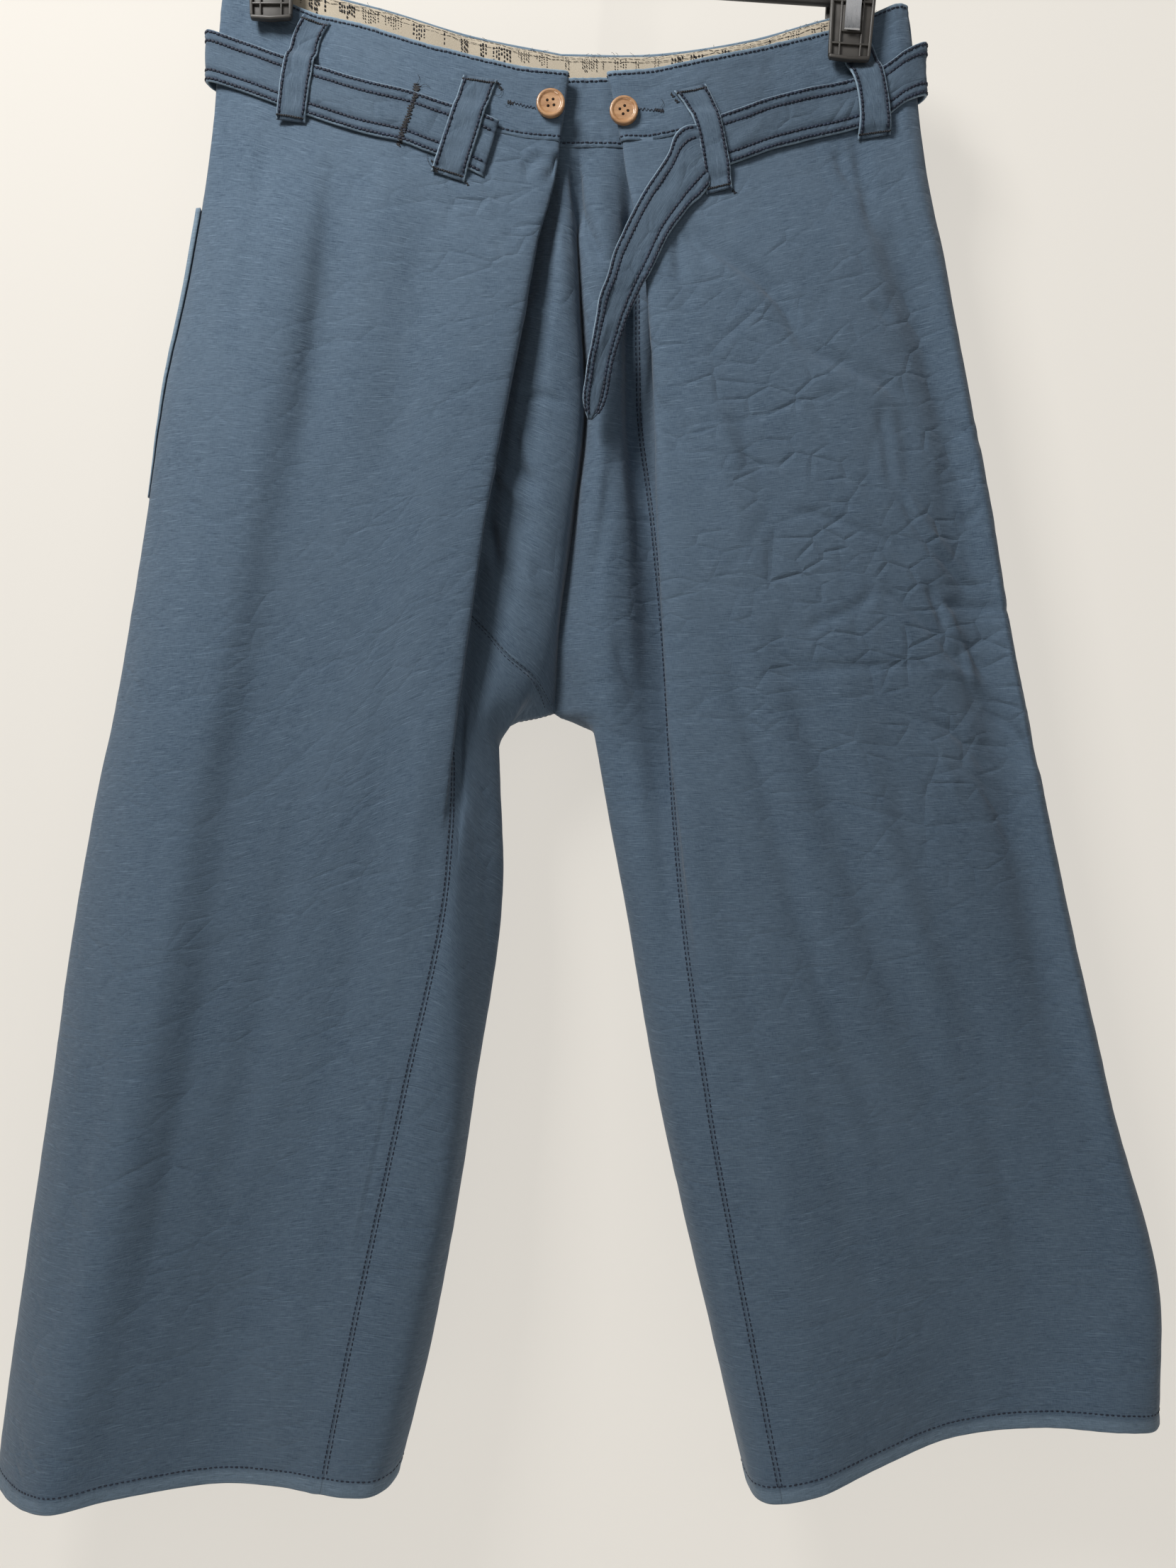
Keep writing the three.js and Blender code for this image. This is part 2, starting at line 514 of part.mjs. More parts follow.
function addLegPanels() {
  const hemRow = left.points.length - 1;
  const hiddenGap = 0.4; // at the seam that turns sharply under the flap
  const panels = [
    ["back_left", left, left.columnOf.inner, left.columnOf.side],
    ["front_left", left, left.columnOf.side, left.columnOf.seam],
    ["front_right", right, right.columnOf.seam, right.columnOf.side],
    ["back_right", right, right.columnOf.side, lastColumn(right)],
  ];
  for (const [name, half, from, to] of panels) {
    const grid = drawIn(cutGrid(half, 0, hemRow, from, to), ["left", "right", "top"]);
    addMesh(name, clothWall(grid, clothThickness), "cloth");
  }

  const inner = cutGrid(left, crotchRow, hemRow, left.columnOf.seam, lastColumn(left));
  drawIn(inner, ["right"]);
  drawIn(inner, ["left", "top"], hiddenGap);
  addMesh("inner_left", clothWall(inner, clothThickness), "cloth");

  const { grid, leftColumns } = centrePanelGrid();
  for (let r = crotchRow + 1; r <= hemRow; r++) {
    const edge = grid.points[r][leftColumns];
    edge.addScaledVector(grid.points[r][leftColumns + 1].clone().sub(edge).normalize(), seamGap / 2);
  }
  for (let c = 0; c <= leftColumns; c++) {
    const edge = grid.points[crotchRow][c];
    edge.addScaledVector(grid.points[crotchRow - 1][c].clone().sub(edge).normalize(), seamGap / 2);
  }
  drawIn(grid, ["left", "right", "top"]);
  const keep = (r, c) => c >= leftColumns || r < crotchRow;
  addMesh("centre_front", clothWall(grid, clothThickness, keep), "cloth");
}

// A stretch of the waistband: it stands on the top row of the panels below it.
function bandGrid(feet, leans, outward) {
  const rowsUp = [1, 0.5, 0];
  const points = rowsUp.map((share) =>
    feet.map((foot, c) => {
      const rise = share * bandHeight + seamGap / 2;
      return foot.clone().add(new THREE.Vector3(share * leans[c].x, share * leans[c].y, rise));
    }),
  );
  return { points, outward: points.map(() => outward.map((o) => o.clone().setZ(0).normalize())) };
}

function leanAlong(lines) {
  const leans = [];
  lines.forEach((line, k) => {
    const next = lines[Math.min(k + 1, lines.length - 1)];
    for (let s = 0; s < Math.max(line.steps, 1); s++) {
      const share = line.steps ? s / line.steps : 0;
      leans.push({
        x: THREE.MathUtils.lerp(line.leanX, next.leanX, share),
        y: THREE.MathUtils.lerp(line.leanY, next.leanY, share),
      });
    }
  });
  return leans;
}

function bandStretch(half, lines, from, to) {
  const cut = (row) => row.slice(from, to + 1);
  return bandGrid(cut(half.points[0]), cut(leanAlong(lines)), cut(half.outward[0]));
}

function joinGrids(first, second) {
  const join = (key) => first[key].map((row, r) => [...row.slice(0, -1), ...second[key][r]]);
  return { points: join("points"), outward: join("outward") };
}

const bandBack = joinGrids(
  bandStretch(right, rightLines, right.columnOf.side, lastColumn(right)),
  bandStretch(left, leftLines, 0, left.columnOf.side),
);

function addWaistband() {
  const ends = ["left", "right"];
  const leftBand = bandStretch(left, leftLines, left.columnOf.side, left.columnOf.seam);
  addMesh("waistband_left", clothWall(drawIn(leftBand, ends), bandThickness), "cloth");
  const rightBand = bandStretch(right, rightLines, right.columnOf.seam, right.columnOf.side);
  addMesh("waistband_right", clothWall(drawIn(rightBand, ends), bandThickness), "cloth");
  const centreBand = joinGrids(
    bandStretch(left, leftLines, left.columnOf.deep, lastColumn(left)),
    bandStretch(right, rightLines, 0, right.columnOf.deep),
  );
  addMesh("waistband_centre", clothWall(drawIn(centreBand, ends), bandThickness), "cloth");
  const facing = facingGrid();
  addMesh("waistband_back", clothWall(drawIn(bandBack, ends), bandThickness), "cloth");
  addMesh("facing_back", clothWall(facing, facingThickness), "facing");
}

// The facing lines the inside of the back waistband, and stops short of the side folds.
function facingGrid() {
  const inward = (bandThickness + facingThickness) / 2 + layerGap;
  const inset = 3;
  const columns = bandBack.points[0].length;
  const grid = cutGrid(bandBack, 0, bandBack.points.length - 1, inset, columns - 1 - inset);
  grid.points.forEach((row, r) => row.forEach((p, c) => p.addScaledVector(grid.outward[r][c], -inward)));
  return grid;
}

// The depth of the cloth's face at a place, seen from the front or from behind. It looks past a seam's gap.
const probe = new THREE.Raycaster();
function faceDepth(meshes, across, height, side = "front") {
  const start = side === "front" ? -300 : 300;
  for (const [nudgeX, nudgeZ] of [[0, 0], [0, -1], [0, 1], [1, 0], [1, 1]]) {
    const from = new THREE.Vector3(across + nudgeX, start, height + nudgeZ);
    probe.set(from, new THREE.Vector3(0, -Math.sign(start), 0));
    const hits = probe.intersectObjects(meshes, false);
    if (hits.length) return hits[0].point.y;
  }
  return undefined;
}

function outwardOf(points, side) {
  const wanted = side === "front" ? -1 : 1;
  const outward = outwardDirections(points, () => undefined, () => undefined);
  const flipped = outward[0][0].y * wanted < 0;
  if (!flipped) return { points, outward };
  const turned = points.map((row) => [...row].reverse());
  return { points: turned, outward: outwardDirections(turned, () => undefined, () => undefined) };
}

function facesOn(side) {
  const sides = ["waistband_left", "front_left", "waistband_right", "front_right"];
  const front = [...sides, "waistband_centre", "centre_front"];
  const back = ["waistband_back", "back_left", "back_right"];
  return (side === "front" ? front : back).map((name) => pants.getObjectByName(name));
}

// More stations between the given ones, on smooth curves through them.
function refine(stations, steps) {
  const froms = new THREE.CatmullRomCurve3(stations.map((s) => s.from), false, "centripetal");
  const tos = new THREE.CatmullRomCurve3(stations.map((s) => s.to), false, "centripetal");
  const count = (stations.length - 1) * steps;
  const fine = [];
  for (let i = 0; i <= count; i++) {
    const share = i / count;
    fine.push({ from: froms.getPoint(share), to: tos.getPoint(share) });
  }
  return fine;
}

// The depths of a belt's stations: its own, or that of the cloth under the middle of it.
function beltStations(rows, lift) {
  return rows.map((row) => {
    const middle = (row.upper + row.lower) / 2;
    const sign = row.side === "back" ? 1 : -1;
    const under = (height) => faceDepth(facesOn(row.side), row.across, height, row.side) * sign;
    const depths = row.side ? [row.upper, middle, row.lower].map(under) : [row.depth * sign];
    const depth = row.side ? sign * (Math.max(...depths) + lift) : row.depth;
    return {
      from: new THREE.Vector3(row.across, depth, row.upper),
      to: new THREE.Vector3(row.across, depth, row.lower),
    };
  });
}

function addBelt() {
  const ease = 0.5; // for the bend of the cloth between two stations
  const lift = layerGap + beltThickness / 2 + ease;
  const runs = [
    ["belt_left", beltLeft, "front"],
    ["belt_back", beltBack, "back"],
    ["belt_right", beltRight, "front"],
  ];
  const shares = [0, 0.5, 1];
  for (const [name, rows, side] of runs) {
    const stations = refine(beltStations(rows, lift), 2);
    const points = stations.map(({ from, to }) => shares.map((share) => from.clone().lerp(to, share)));
    addMesh(name, clothWall(outwardOf(points, side), beltThickness), "trim");
  }
  const edges = beltTie.map((row) => ({
    from: new THREE.Vector3(row.left[0], row.depth, row.left[1]),
    to: new THREE.Vector3(row.right[0], row.depth, row.right[1]),
  }));
  const tie = refine(edges, 2).map(({ from, to }) => shares.map((share) => from.clone().lerp(to, share)));
  addMesh("belt_tie", clothWall(outwardOf(tie, "front"), beltThickness), "trim");
}

// A loop lies on the cloth at both ends and passes over the belt between them.
function addLoops() {
  const ease = 0.3; // for the bend of the belt between two rows
  const lift = layerGap + loopThickness / 2 + ease;
  const rows = 9;
  const acrossParts = [-0.55, 0, 0.55]; // a little past both edges, in loop widths
  const alongParts = [-0.9, -0.45, 0, 0.45, 0.9]; // most of the way to the rows before and after
  const belts = ["belt_left", "belt_back", "belt_right"].map((name) => pants.getObjectByName(name));
  for (const loop of loops) {
    const sign = loop.side === "front" ? -1 : 1;
    const meshes = [...facesOn(loop.side), ...belts];
    const middle = (share) => ({
      x: THREE.MathUtils.lerp(loop.upper[0], loop.lower[0], share),
      z: THREE.MathUtils.lerp(loop.upper[1], loop.lower[1], share),
    });
    const proudAt = (share) => {
      const { x, z } = middle(THREE.MathUtils.clamp(share, 0, 1));
      const depthAt = (part) => faceDepth(meshes, x + part * loopWidth, z, loop.side) ?? 0;
      return Math.max(...acrossParts.map((part) => sign * depthAt(part)));
    };
    const points = [];
    for (let r = 0; r <= rows; r++) {
      const share = r / rows;
      const near = alongParts.map((part) => proudAt(share + part / rows));
      const { x, z } = middle(share);
      const depth = sign * (Math.max(...near) + lift);
      points.push([-0.5, 0, 0.5].map((part) => new THREE.Vector3(x + part * loopWidth, depth, z)));
    }
    addMesh(loop.name, clothWall(outwardOf(points, loop.side), loopThickness), "trim");
  }
}

function addPocket() {
  const { columnOf } = left;
  const grid = cutGrid(left, pocket.firstRow, pocket.lastRow, columnOf[pocket.innerLine], columnOf.side);
  const out = (clothThickness + pocketThickness) / 2 + layerGap;
  grid.points.forEach((row, r) => row.forEach((p, c) => p.addScaledVector(grid.outward[r][c], out)));
  addMesh("pocket_left", clothWall(grid, pocketThickness), "cloth");
}

function buttonGeometry() {
  const bevel = 0.7;
  const bevelReach = 0.5;
  const holeSides = 8;
  const face = new THREE.Shape().absarc(0, 0, buttonWidth / 2 - bevel, 0, 2 * Math.PI, false);
  for (const [x, y] of [[1, 1], [-1, 1], [-1, -1], [1, -1]]) {
    const reach = buttonHoleSpacing / 2;
    const around = [];
    for (let k = 0; k < holeSides; k++) {
      const angle = (-2 * Math.PI * k) / holeSides;
      const rimX = x * reach + (Math.cos(angle) * buttonHoleWidth) / 2;
      const rimY = y * reach + (Math.sin(angle) * buttonHoleWidth) / 2;
      around.push(new THREE.Vector2(rimX, rimY));
    }
    face.holes.push(new THREE.Path(around));
  }
  return new THREE.ExtrudeGeometry(face, {
    depth: buttonThickness - 2 * bevel,
    bevelSize: bevelReach,
    bevelThickness: bevel,
    bevelSegments: 1,
    curveSegments: 12,
  }).translate(0, 0, bevel);
}

function addButtons() {
  for (const button of buttons) {
    const mesh = addMesh(button.name, buttonGeometry(), "button");
    const depth = faceDepth(facesOn("front"), button.across, button.height);
    mesh.rotation.x = Math.PI / 2;
    mesh.position.set(button.across, depth - layerGap, button.height);
  }
}

function addHanger() {
  const hanger = new THREE.Group();
  hanger.rotation.y = THREE.MathUtils.degToRad(hangerTilt);
  pants.add(hanger);

  const bar = new RoundedBoxGeometry(barLength, barThickness, barHeight, 2, 2);
  addMesh("hanger_bar", bar, "plastic", hanger).position.z = -barDrop;

  addMesh("hanger_hook", hookGeometry(), "steel", hanger);

  for (const clip of clips) addClip(clip, hanger);
}

// The hook: a round wire that stands on the bar and bends over. Its inside rests on the origin at the top.
function hookGeometry() {
  const wireMiddle = hookWire / 2;
  const centreHeight = wireMiddle - hookRadius;
  const foot = -barDrop + barHeight / 2 + seamGap;
  const stemHeights = [0, 30, 55]; // above the foot, where the wire still runs straight up
  const route = stemHeights.map((height) => new THREE.Vector3(0, 0, foot + height));
  const bow = { start: -70, end: 160, step: 23 }; // degrees round the bow's centre
  for (let angle = bow.start; angle <= bow.end; angle += bow.step) {
    const turn = THREE.MathUtils.degToRad(angle);
    const across = Math.cos(turn) * hookRadius;
    route.push(new THREE.Vector3(across, 0, centreHeight + Math.sin(turn) * hookRadius));
  }
  const tip = { out: 2, down: 6 }; // of the wire's end from the bow's widest place
  route.push(new THREE.Vector3(-hookRadius - tip.out, 0, centreHeight - tip.down));
  const section = new THREE.Shape().absarc(0, 0, hookWire / 2, 0, 2 * Math.PI, false);
  return new THREE.ExtrudeGeometry(section, {
    extrudePath: new THREE.CatmullRomCurve3(route, false, "centripetal"),
    steps: 40, // along the wire
    curveSegments: 4, // round a quarter of it
    bevelEnabled: false,
  });
}

// A clip: a jaw on each side of the cloth, and a bent steel spring that holds them.
function addClip(clip, hanger) {
  const slope = THREE.MathUtils.degToRad(hangerTilt);
  const along = clip.across / Math.cos(slope) + barDrop * Math.tan(slope);
  const bottom = -barDrop - clipBelowBar;
  const group = new THREE.Group();
  group.position.set(along, 0, bottom);
  hanger.add(group);

  const jaws = [
    { name: "front", sign: -1, inner: clip.frontJaw },
    { name: "back", sign: 1, inner: clip.backJaw },
  ];
  for (const { name, sign, inner } of jaws)
    addMesh("clip_" + clip.name + "_jaw_" + name, jawGeometry(sign, inner), "plastic", group);
  addMesh("clip_" + clip.name + "_spring", springGeometry(clip.frontJaw, clip.backJaw), "steel", group);
}

// A solid with one outline all across its width. The first axis of the outline is depth, the second height.
function extrudeAcross(outline, width) {
  const geometry = new THREE.ExtrudeGeometry(outline, { depth: width, bevelEnabled: false });
  const turn = new THREE.Matrix4().makeBasis(
    new THREE.Vector3(0, 1, 0),
    new THREE.Vector3(0, 0, 1),
    new THREE.Vector3(1, 0, 0),
  );
  return geometry.applyMatrix4(turn).translate(-width / 2, 0, 0);
}

// A jaw: a plate on one side of the cloth, with a boss that bears on the bar. sign is -1 at the front.
function jawGeometry(sign, inner) {
  const outer = inner + jawThickness;
  const bearing = barThickness / 2 + seamGap;
  const bossHalf = 5;
  const corner = 1.6;
  const outline = new THREE.Shape();
  outline.moveTo(sign * inner, 0);
  outline.lineTo(sign * (outer - corner), 0);
  outline.lineTo(sign * outer, corner);
  outline.lineTo(sign * outer, clipHeight - corner);
  outline.lineTo(sign * (outer - corner), clipHeight);
  outline.lineTo(sign * inner, clipHeight);
  outline.lineTo(sign * inner, clipBelowBar + bossHalf);
  outline.lineTo(sign * bearing, clipBelowBar + bossHalf);
  outline.lineTo(sign * bearing, clipBelowBar - bossHalf);
  outline.lineTo(sign * inner, clipBelowBar - bossHalf);
  outline.closePath();
  return extrudeAcross(outline, clipWidth);
}

// The spring: a steel strip bent over the top of the jaws.
function springGeometry(frontJaw, backJaw) {
  const stripWidth = 10;
  const strip = 0.8;
  const front = -(frontJaw + jawThickness + seamGap);
  const back = backJaw + jawThickness + seamGap;
  const foot = 37; // from the bottom of the clip to the ends of the strip
  const head = clipHeight + seamGap;
  const outline = new THREE.Shape();
  outline.moveTo(front - strip, foot);
  outline.lineTo(front, foot);
  outline.lineTo(front, head);
  outline.lineTo(back, head);
  outline.lineTo(back, foot);
  outline.lineTo(back + strip, foot);
  outline.lineTo(back + strip, head + strip);
  outline.lineTo(front - strip, head + strip);
  outline.closePath();
  return extrudeAcross(outline, stripWidth);
}

addLegPanels();
addWaistband();
pants.updateMatrixWorld(true);
addBelt();
addLoops();
addPocket();
addButtons();
addHanger();

export default pants;
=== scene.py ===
import math
import random
import bpy
import bmesh
import numpy as np
from mathutils import Matrix, Vector
from mathutils.bvhtree import BVHTree


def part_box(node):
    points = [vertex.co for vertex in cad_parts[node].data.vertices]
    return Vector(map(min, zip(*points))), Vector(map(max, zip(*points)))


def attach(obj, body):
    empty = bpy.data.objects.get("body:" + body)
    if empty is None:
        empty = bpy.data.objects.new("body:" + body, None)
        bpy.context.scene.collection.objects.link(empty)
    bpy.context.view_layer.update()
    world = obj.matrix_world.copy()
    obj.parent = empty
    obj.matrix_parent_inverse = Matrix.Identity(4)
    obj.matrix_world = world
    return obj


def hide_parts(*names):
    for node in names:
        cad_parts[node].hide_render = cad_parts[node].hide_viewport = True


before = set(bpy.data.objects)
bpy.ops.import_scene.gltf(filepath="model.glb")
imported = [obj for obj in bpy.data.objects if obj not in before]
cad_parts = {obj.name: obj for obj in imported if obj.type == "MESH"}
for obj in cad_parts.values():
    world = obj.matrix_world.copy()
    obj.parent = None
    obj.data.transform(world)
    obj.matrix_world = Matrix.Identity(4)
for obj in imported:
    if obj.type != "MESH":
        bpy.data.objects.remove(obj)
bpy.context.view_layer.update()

print("camera")

# The photo's frame in pixels, and the camera in millimetres. It looks straight along +Y.
photo = {"width": 1659, "height": 2212, "focal": 1804, "cameraX": 17.5, "cameraY": -830, "cameraZ": -650}
sensorSize = 36


def photoPlace(points):
    # where points in millimetres fall in the photo's frame
    depth = points[..., 1] - photo["cameraY"]
    across = photo["width"] / 2 + (points[..., 0] - photo["cameraX"]) * photo["focal"] / depth
    down = photo["height"] / 2 - (points[..., 2] - photo["cameraZ"]) * photo["focal"] / depth
    return across, down


def fromPhoto(across, down, depth):
    # the place in millimetres that shows at a pixel of the photo, at a depth along Y
    scale = (depth - photo["cameraY"]) / photo["focal"]
    x = photo["cameraX"] + (across - photo["width"] / 2) * scale
    z = photo["cameraZ"] - (down - photo["height"] / 2) * scale
    return np.array([x, depth, z])


def lengthsAlong(line):
    # how far along a line of points every point lies
    return np.concatenate([[0], np.cumsum(np.linalg.norm(np.diff(line, axis=0), axis=-1))])


def evenly(values, at, places):
    # the rows of values, known at some places along a line, read at others
    return np.stack([np.interp(at, places, values[:, k]) for k in range(values.shape[1])], axis=-1)


def unitOf(vectors):
    return vectors / np.linalg.norm(vectors, axis=-1, keepdims=True)


def bell(values, middle, width):
    # 1 at the middle, fading to 0 on both sides
    return np.exp(-((values - middle) / width) ** 2)


def linkPiece(name, data):
    piece = bpy.data.objects.new(name, data)
    bpy.context.collection.objects.link(piece)
    return piece


def selectOnly(piece):
    bpy.ops.object.select_all(action="DESELECT")
    bpy.context.view_layer.objects.active = piece
    piece.select_set(True)


def finishPiece(piece, node=None):
    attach(piece, "root")
    if node:
        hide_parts(node)


cameraData = bpy.data.cameras.new("camera")
cameraData.sensor_width = sensorSize
cameraData.sensor_fit = "AUTO"
cameraData.lens = photo["focal"] * sensorSize / photo["height"]
cameraData.clip_start = 0.05
cameraObject = linkPiece("camera", cameraData)
cameraObject.location = [photo[key] / 1000 for key in ("cameraX", "cameraY", "cameraZ")]
cameraObject.rotation_euler = (math.pi / 2, 0, 0)
bpy.context.scene.camera = cameraObject

print("cloth surfaces")

# The lines that run down the cloth, from the back seam round the side to the front centre of each half.
leftLines = [
    # name, waist, crotch, hem, leanX, leanY
    ("inner", -209, -603, -1089, 0, -2),
    ("quarter", -198, -603, -1090, 0, -2.5),
    ("backMiddle", -185, -603, -1091, 0, -3),
    ("outer", -175, -603, -1093, 2, -1.8),
    ("turn", -174, -603, -1096, 5, -0.4),
    ("side", -174, -603, -1096, 4, 0),
    ("flank", -180, -602, -1098, 2, 1),
    ("ridge", -196, -598, -1096, 0, 3),
    ("valley", -205, -592, -1094, 0, 1.5),
    ("middle", -224, -572, -1094, 0, 1),
    ("shoulder", -239, -546, -1094, 5, 0),
    ("foldEdge", -241, -538, -1094, 6, 0),
    ("under", -241, -537, -1094, 6, 0),
    ("seam", -241, -536, -1094, 5, 0),
    ("deep", -240.5, -541, -1094, 0, 0),
    ("nearFold", -240, -553, -1095, 0, 0),
    ("foldTop", -240, -568, -1095, 0, 0),
    ("farFold", -240, -582, -1091, 0, 0),
    ("centre", -240, -603, -1089, 0, 0),
]
rightLines = [
    # name, waist, crotch, hem, leanX, leanY
    ("centre", -240, -603, -1089, 0, 0),
    ("nearFold", -240, -603, -1093, 0, 0),
    ("foldTop", -240, -603, -1097, 0, 0),
    ("farFold", -240, -603, -1097, 0, 0),
    ("deep", -240.5, -603, -1096, 0, 0),
    ("seam", -241, -603, -1095, -9, 0),
    ("under", -241, -603, -1094, -10, 0),
    ("foldEdge", -241, -603, -1093, -10, 0),
    ("shoulder", -240, -603, -1090, -4, 0),
    ("middle", -232, -603, -1081, -1, 0),
    ("outerMiddle", -219, -603, -1068, 0, 1.5),
    ("band", -204, -603, -1059, 0, 2.6),
    ("valley", -193, -603, -1057, -3, 1.5),
    ("ridge", -189, -603, -1059, -4, 1),
    ("side", -188, -603, -1061, -5, 0),
    ("turn", -188, -603, -1061, -6, -0.4),
    ("outer", -194, -603, -1061, -2, -2.2),
    ("backMiddle", -206, -603, -1066, 0, -3),
    ("quarter", -210, -603, -1080, 0, -2.5),
    ("inner", -209, -603, -1089, 0, -2),
]
leftBack = {
    "lines": ["inner", "quarter", "backMiddle", "outer", "turn"],
    -130: [(0, 19), (-60, 17), (-120, 9), (-178, 4.2), (-211, 4.5)],
    -210: [(0, 21), (-60, 20), (-120, 12), (-181, 6), (-219, 6)],
    -300: [(0, 27), (-62, 28), (-128, 24), (-198, 20), (-234, 9)],
    -400: [(0, 31), (-66, 33), (-138, 31), (-212, 26), (-250, 11)],
    -560: [(-3, 30), (-75, 36), (-152, 36), (-230, 28), (-272, 12)],
    -603: [(-5, 23), (-80, 35), (-158, 37), (-236, 28), (-280, 12)],
    -609: [(-30, 20), (-84, 34), (-160, 37), (-238, 28), (-281, 12)],
    -620: [(-43, 14), (-86, 32), (-162, 37), (-240, 28), (-283, 12)],
    -700: [(-43, 15), (-92, 32), (-170, 37), (-250, 30), (-298, 13)],
    -850: [(-62, 13), (-112, 31), (-190, 36), (-272, 32), (-321, 14)],
    -1000: [(-88, 11), (-140, 29), (-214, 33), (-294, 33), (-342, 15)],
    -1100: [(-112, 11), (-162, 28), (-234, 30), (-310, 34), (-355, 15)],
}
leftFront = {
    "lines": ["side", "flank", "ridge", "valley", "middle"],
    -170: [(-221, 0), (-198, -3.4), (-157, -4.2), (-128, -8), (-80, -15)],
    -245: [(-228, 0), (-203, -8), (-160, -13), (-134, -15), (-80, -19)],
    -320: [(-240, 0), (-211, -18), (-167, -28), (-142, -22), (-88, -25)],
    -400: [(-257, 0), (-227, -21), (-181, -32), (-156, -25), (-102, -28)],
    -480: [(-269, 0), (-240, -23), (-197, -34), (-171, -27), (-116, -29)],
    -560: [(-281, 0), (-254, -24), (-211, -36), (-185, -28), (-129, -29)],
    -610: [(-290, 0), (-263, -25), (-220, -38), (-194, -29), (-138, -29)],
    -650: [(-299, 0), (-272, -25), (-228, -39), (-202, -30), (-145, -29)],
    -700: [(-308, 0), (-280, -26), (-236, -41), (-209, -31), (-152, -28)],
    -850: [(-331, 0), (-305, -28), (-262, -45), (-234, -34), (-178, -23)],
    -1000: [(-353, 0), (-329, -29), (-293, -48), (-263, -36), (-208, -18)],
    -1100: [(-366, 0), (-345, -30), (-314, -49), (-282, -37), (-220, -16)],
}
leftFlap = {
    "lines": ["shoulder", "foldEdge", "under", "seam"],
    -170: [(-26, -18), (0, -18), (-3, -13.5), (-13, -12)],
    -245: [(-26, -20), (-1, -18), (-4, -13.5), (-13, -11.3)],
    -320: [(-42, -28), (-17, -25), (-20, -14), (-27, -6)],
    -400: [(-58, -32), (-32, -29), (-36, -17), (-42, -8)],
    -480: [(-72, -33), (-46, -31), (-50, -19), (-56, -9)],
    -560: [(-84, -34), (-58, -31), (-61, -20), (-65, -12)],
    -610: [(-91, -34), (-65, -31), (-67, -22), (-69, -17)],
    -650: [(-95, -34), (-70, -31), (-70, -27), (-68, -23)],
    -700: [(-101, -33), (-79, -32), (-74, -31.5), (-70, -30)],
    -850: [(-130, -29), (-110, -31), (-104, -32), (-99, -32)],
    -1000: [(-162, -26), (-143, -29), (-136, -30), (-131, -31)],
    -1100: [(-182, -19), (-163, -25), (-156, -28), (-151, -29)],
}
leftInside = {
    "lines": ["deep", "nearFold", "foldTop", "farFold", "centre"],
    -240: [(-9, -8.5), (-3, -8.5), (2, -8.5), (7, -8.5), (12, -8.5)],
    -275: [(-14, -3), (-6, -6), (0, -9), (6, -8), (11, -2)],
    -320: [(-20, -1), (-11, -8), (0, -13), (8, -9), (12, 4)],
    -400: [(-35, -2), (-27, -8), (-8, -14), (12, -8), (16, 6)],
    -480: [(-49, -2), (-37, -9), (-16, -14), (3, -9), (8, 6)],
    -552: [(-60, -5), (-47, -9), (-30, -12), (-8, -5), (-2, 8)],
    -603: [(-63, -12), (-56, -14), (-46, -12), (-29, -2), (-5, 21)],
    -609: [(-63, -13), (-57, -15), (-49, -12), (-36, -1), (-30, 19)],
    -620: [(-64, -15), (-59, -17), (-51, -12), (-41, 0), (-43, 13)],
    -650: [(-64, -19), (-59, -19), (-50, -12), (-40, 0), (-43, 14)],
    -700: [(-66, -28.5), (-62, -26), (-50, -14), (-38, 0), (-43, 14)],
    -850: [(-84, -34), (-67, -30), (-58, -15), (-56, -3), (-62, 12)],
    -1000: [(-115, -34), (-95, -31), (-85, -18), (-82, -6), (-88, 10)],
    -1100: [(-138, -33), (-120, -31), (-110, -19), (-106, -6), (-112, 10)],
}
rightInside = {
    "lines": ["centre", "nearFold", "foldTop", "farFold", "deep"],
    -240: [(12, -8.5), (16, -8.5), (24, -8.5), (33, -8.5), (45, -8.5)],
    -275: [(11, -2), (14, -7), (25, -10), (36, -7), (45, -1)],
    -320: [(12, 4), (16, -7), (27, -13), (38, -8), (43, 6)],
    -400: [(16, 6), (22, -7), (29, -13), (37, -8), (43, 7)],
    -480: [(8, 6), (13, -6), (25, -13), (41, -8), (51, 5)],
    -552: [(-2, 8), (12, -4), (28, -12), (43, -8), (56, 3)],
    -603: [(-5, 21), (19, -3), (31, -10), (44, -7), (58, 1)],
    -609: [(8, 19), (21, -2), (32, -10), (45, -7), (59, 0)],
    -620: [(28, 14), (23, -2), (34, -9), (46, -8), (60, -1)],
    -700: [(43, 14), (37, -1), (44, -12), (55, -18), (67, -17)],
    -850: [(69, 12), (63, -3), (66, -13), (72, -21), (82, -26)],
    -1000: [(103, 10), (97, -4), (98, -13), (102, -21), (110, -28)],
    -1100: [(126, 8), (120, -6), (121, -17), (124, -29), (131, -37)],
}
rightFlap = {
    "lines": ["seam", "under", "foldEdge", "shoulder"],
    -170: [(51, -12), (42, -13.5), (38, -18), (62, -18)],
    -245: [(51, -11.3), (44, -13.5), (40, -18), (62, -20)],
    -320: [(50, 3), (57, -10), (53, -25), (75, -28)],
    -400: [(51, 9), (61, -6), (60, -27), (84, -32)],
    -480: [(60, 7), (66, -7), (62, -28), (88, -34)],
    -560: [(67, 5), (70, -9), (65, -29), (92, -35)],
    -610: [(70, 2), (73, -12), (68, -29), (96, -35)],
    -700: [(75, -19), (78, -25), (79, -31), (105, -35)],
    -850: [(93, -29), (97, -31), (102, -32), (128, -35)],
    -1000: [(120, -32), (124, -33), (130, -34), (152, -36)],
    -1100: [(139, -39), (144, -40), (150, -40), (167, -37)],
}
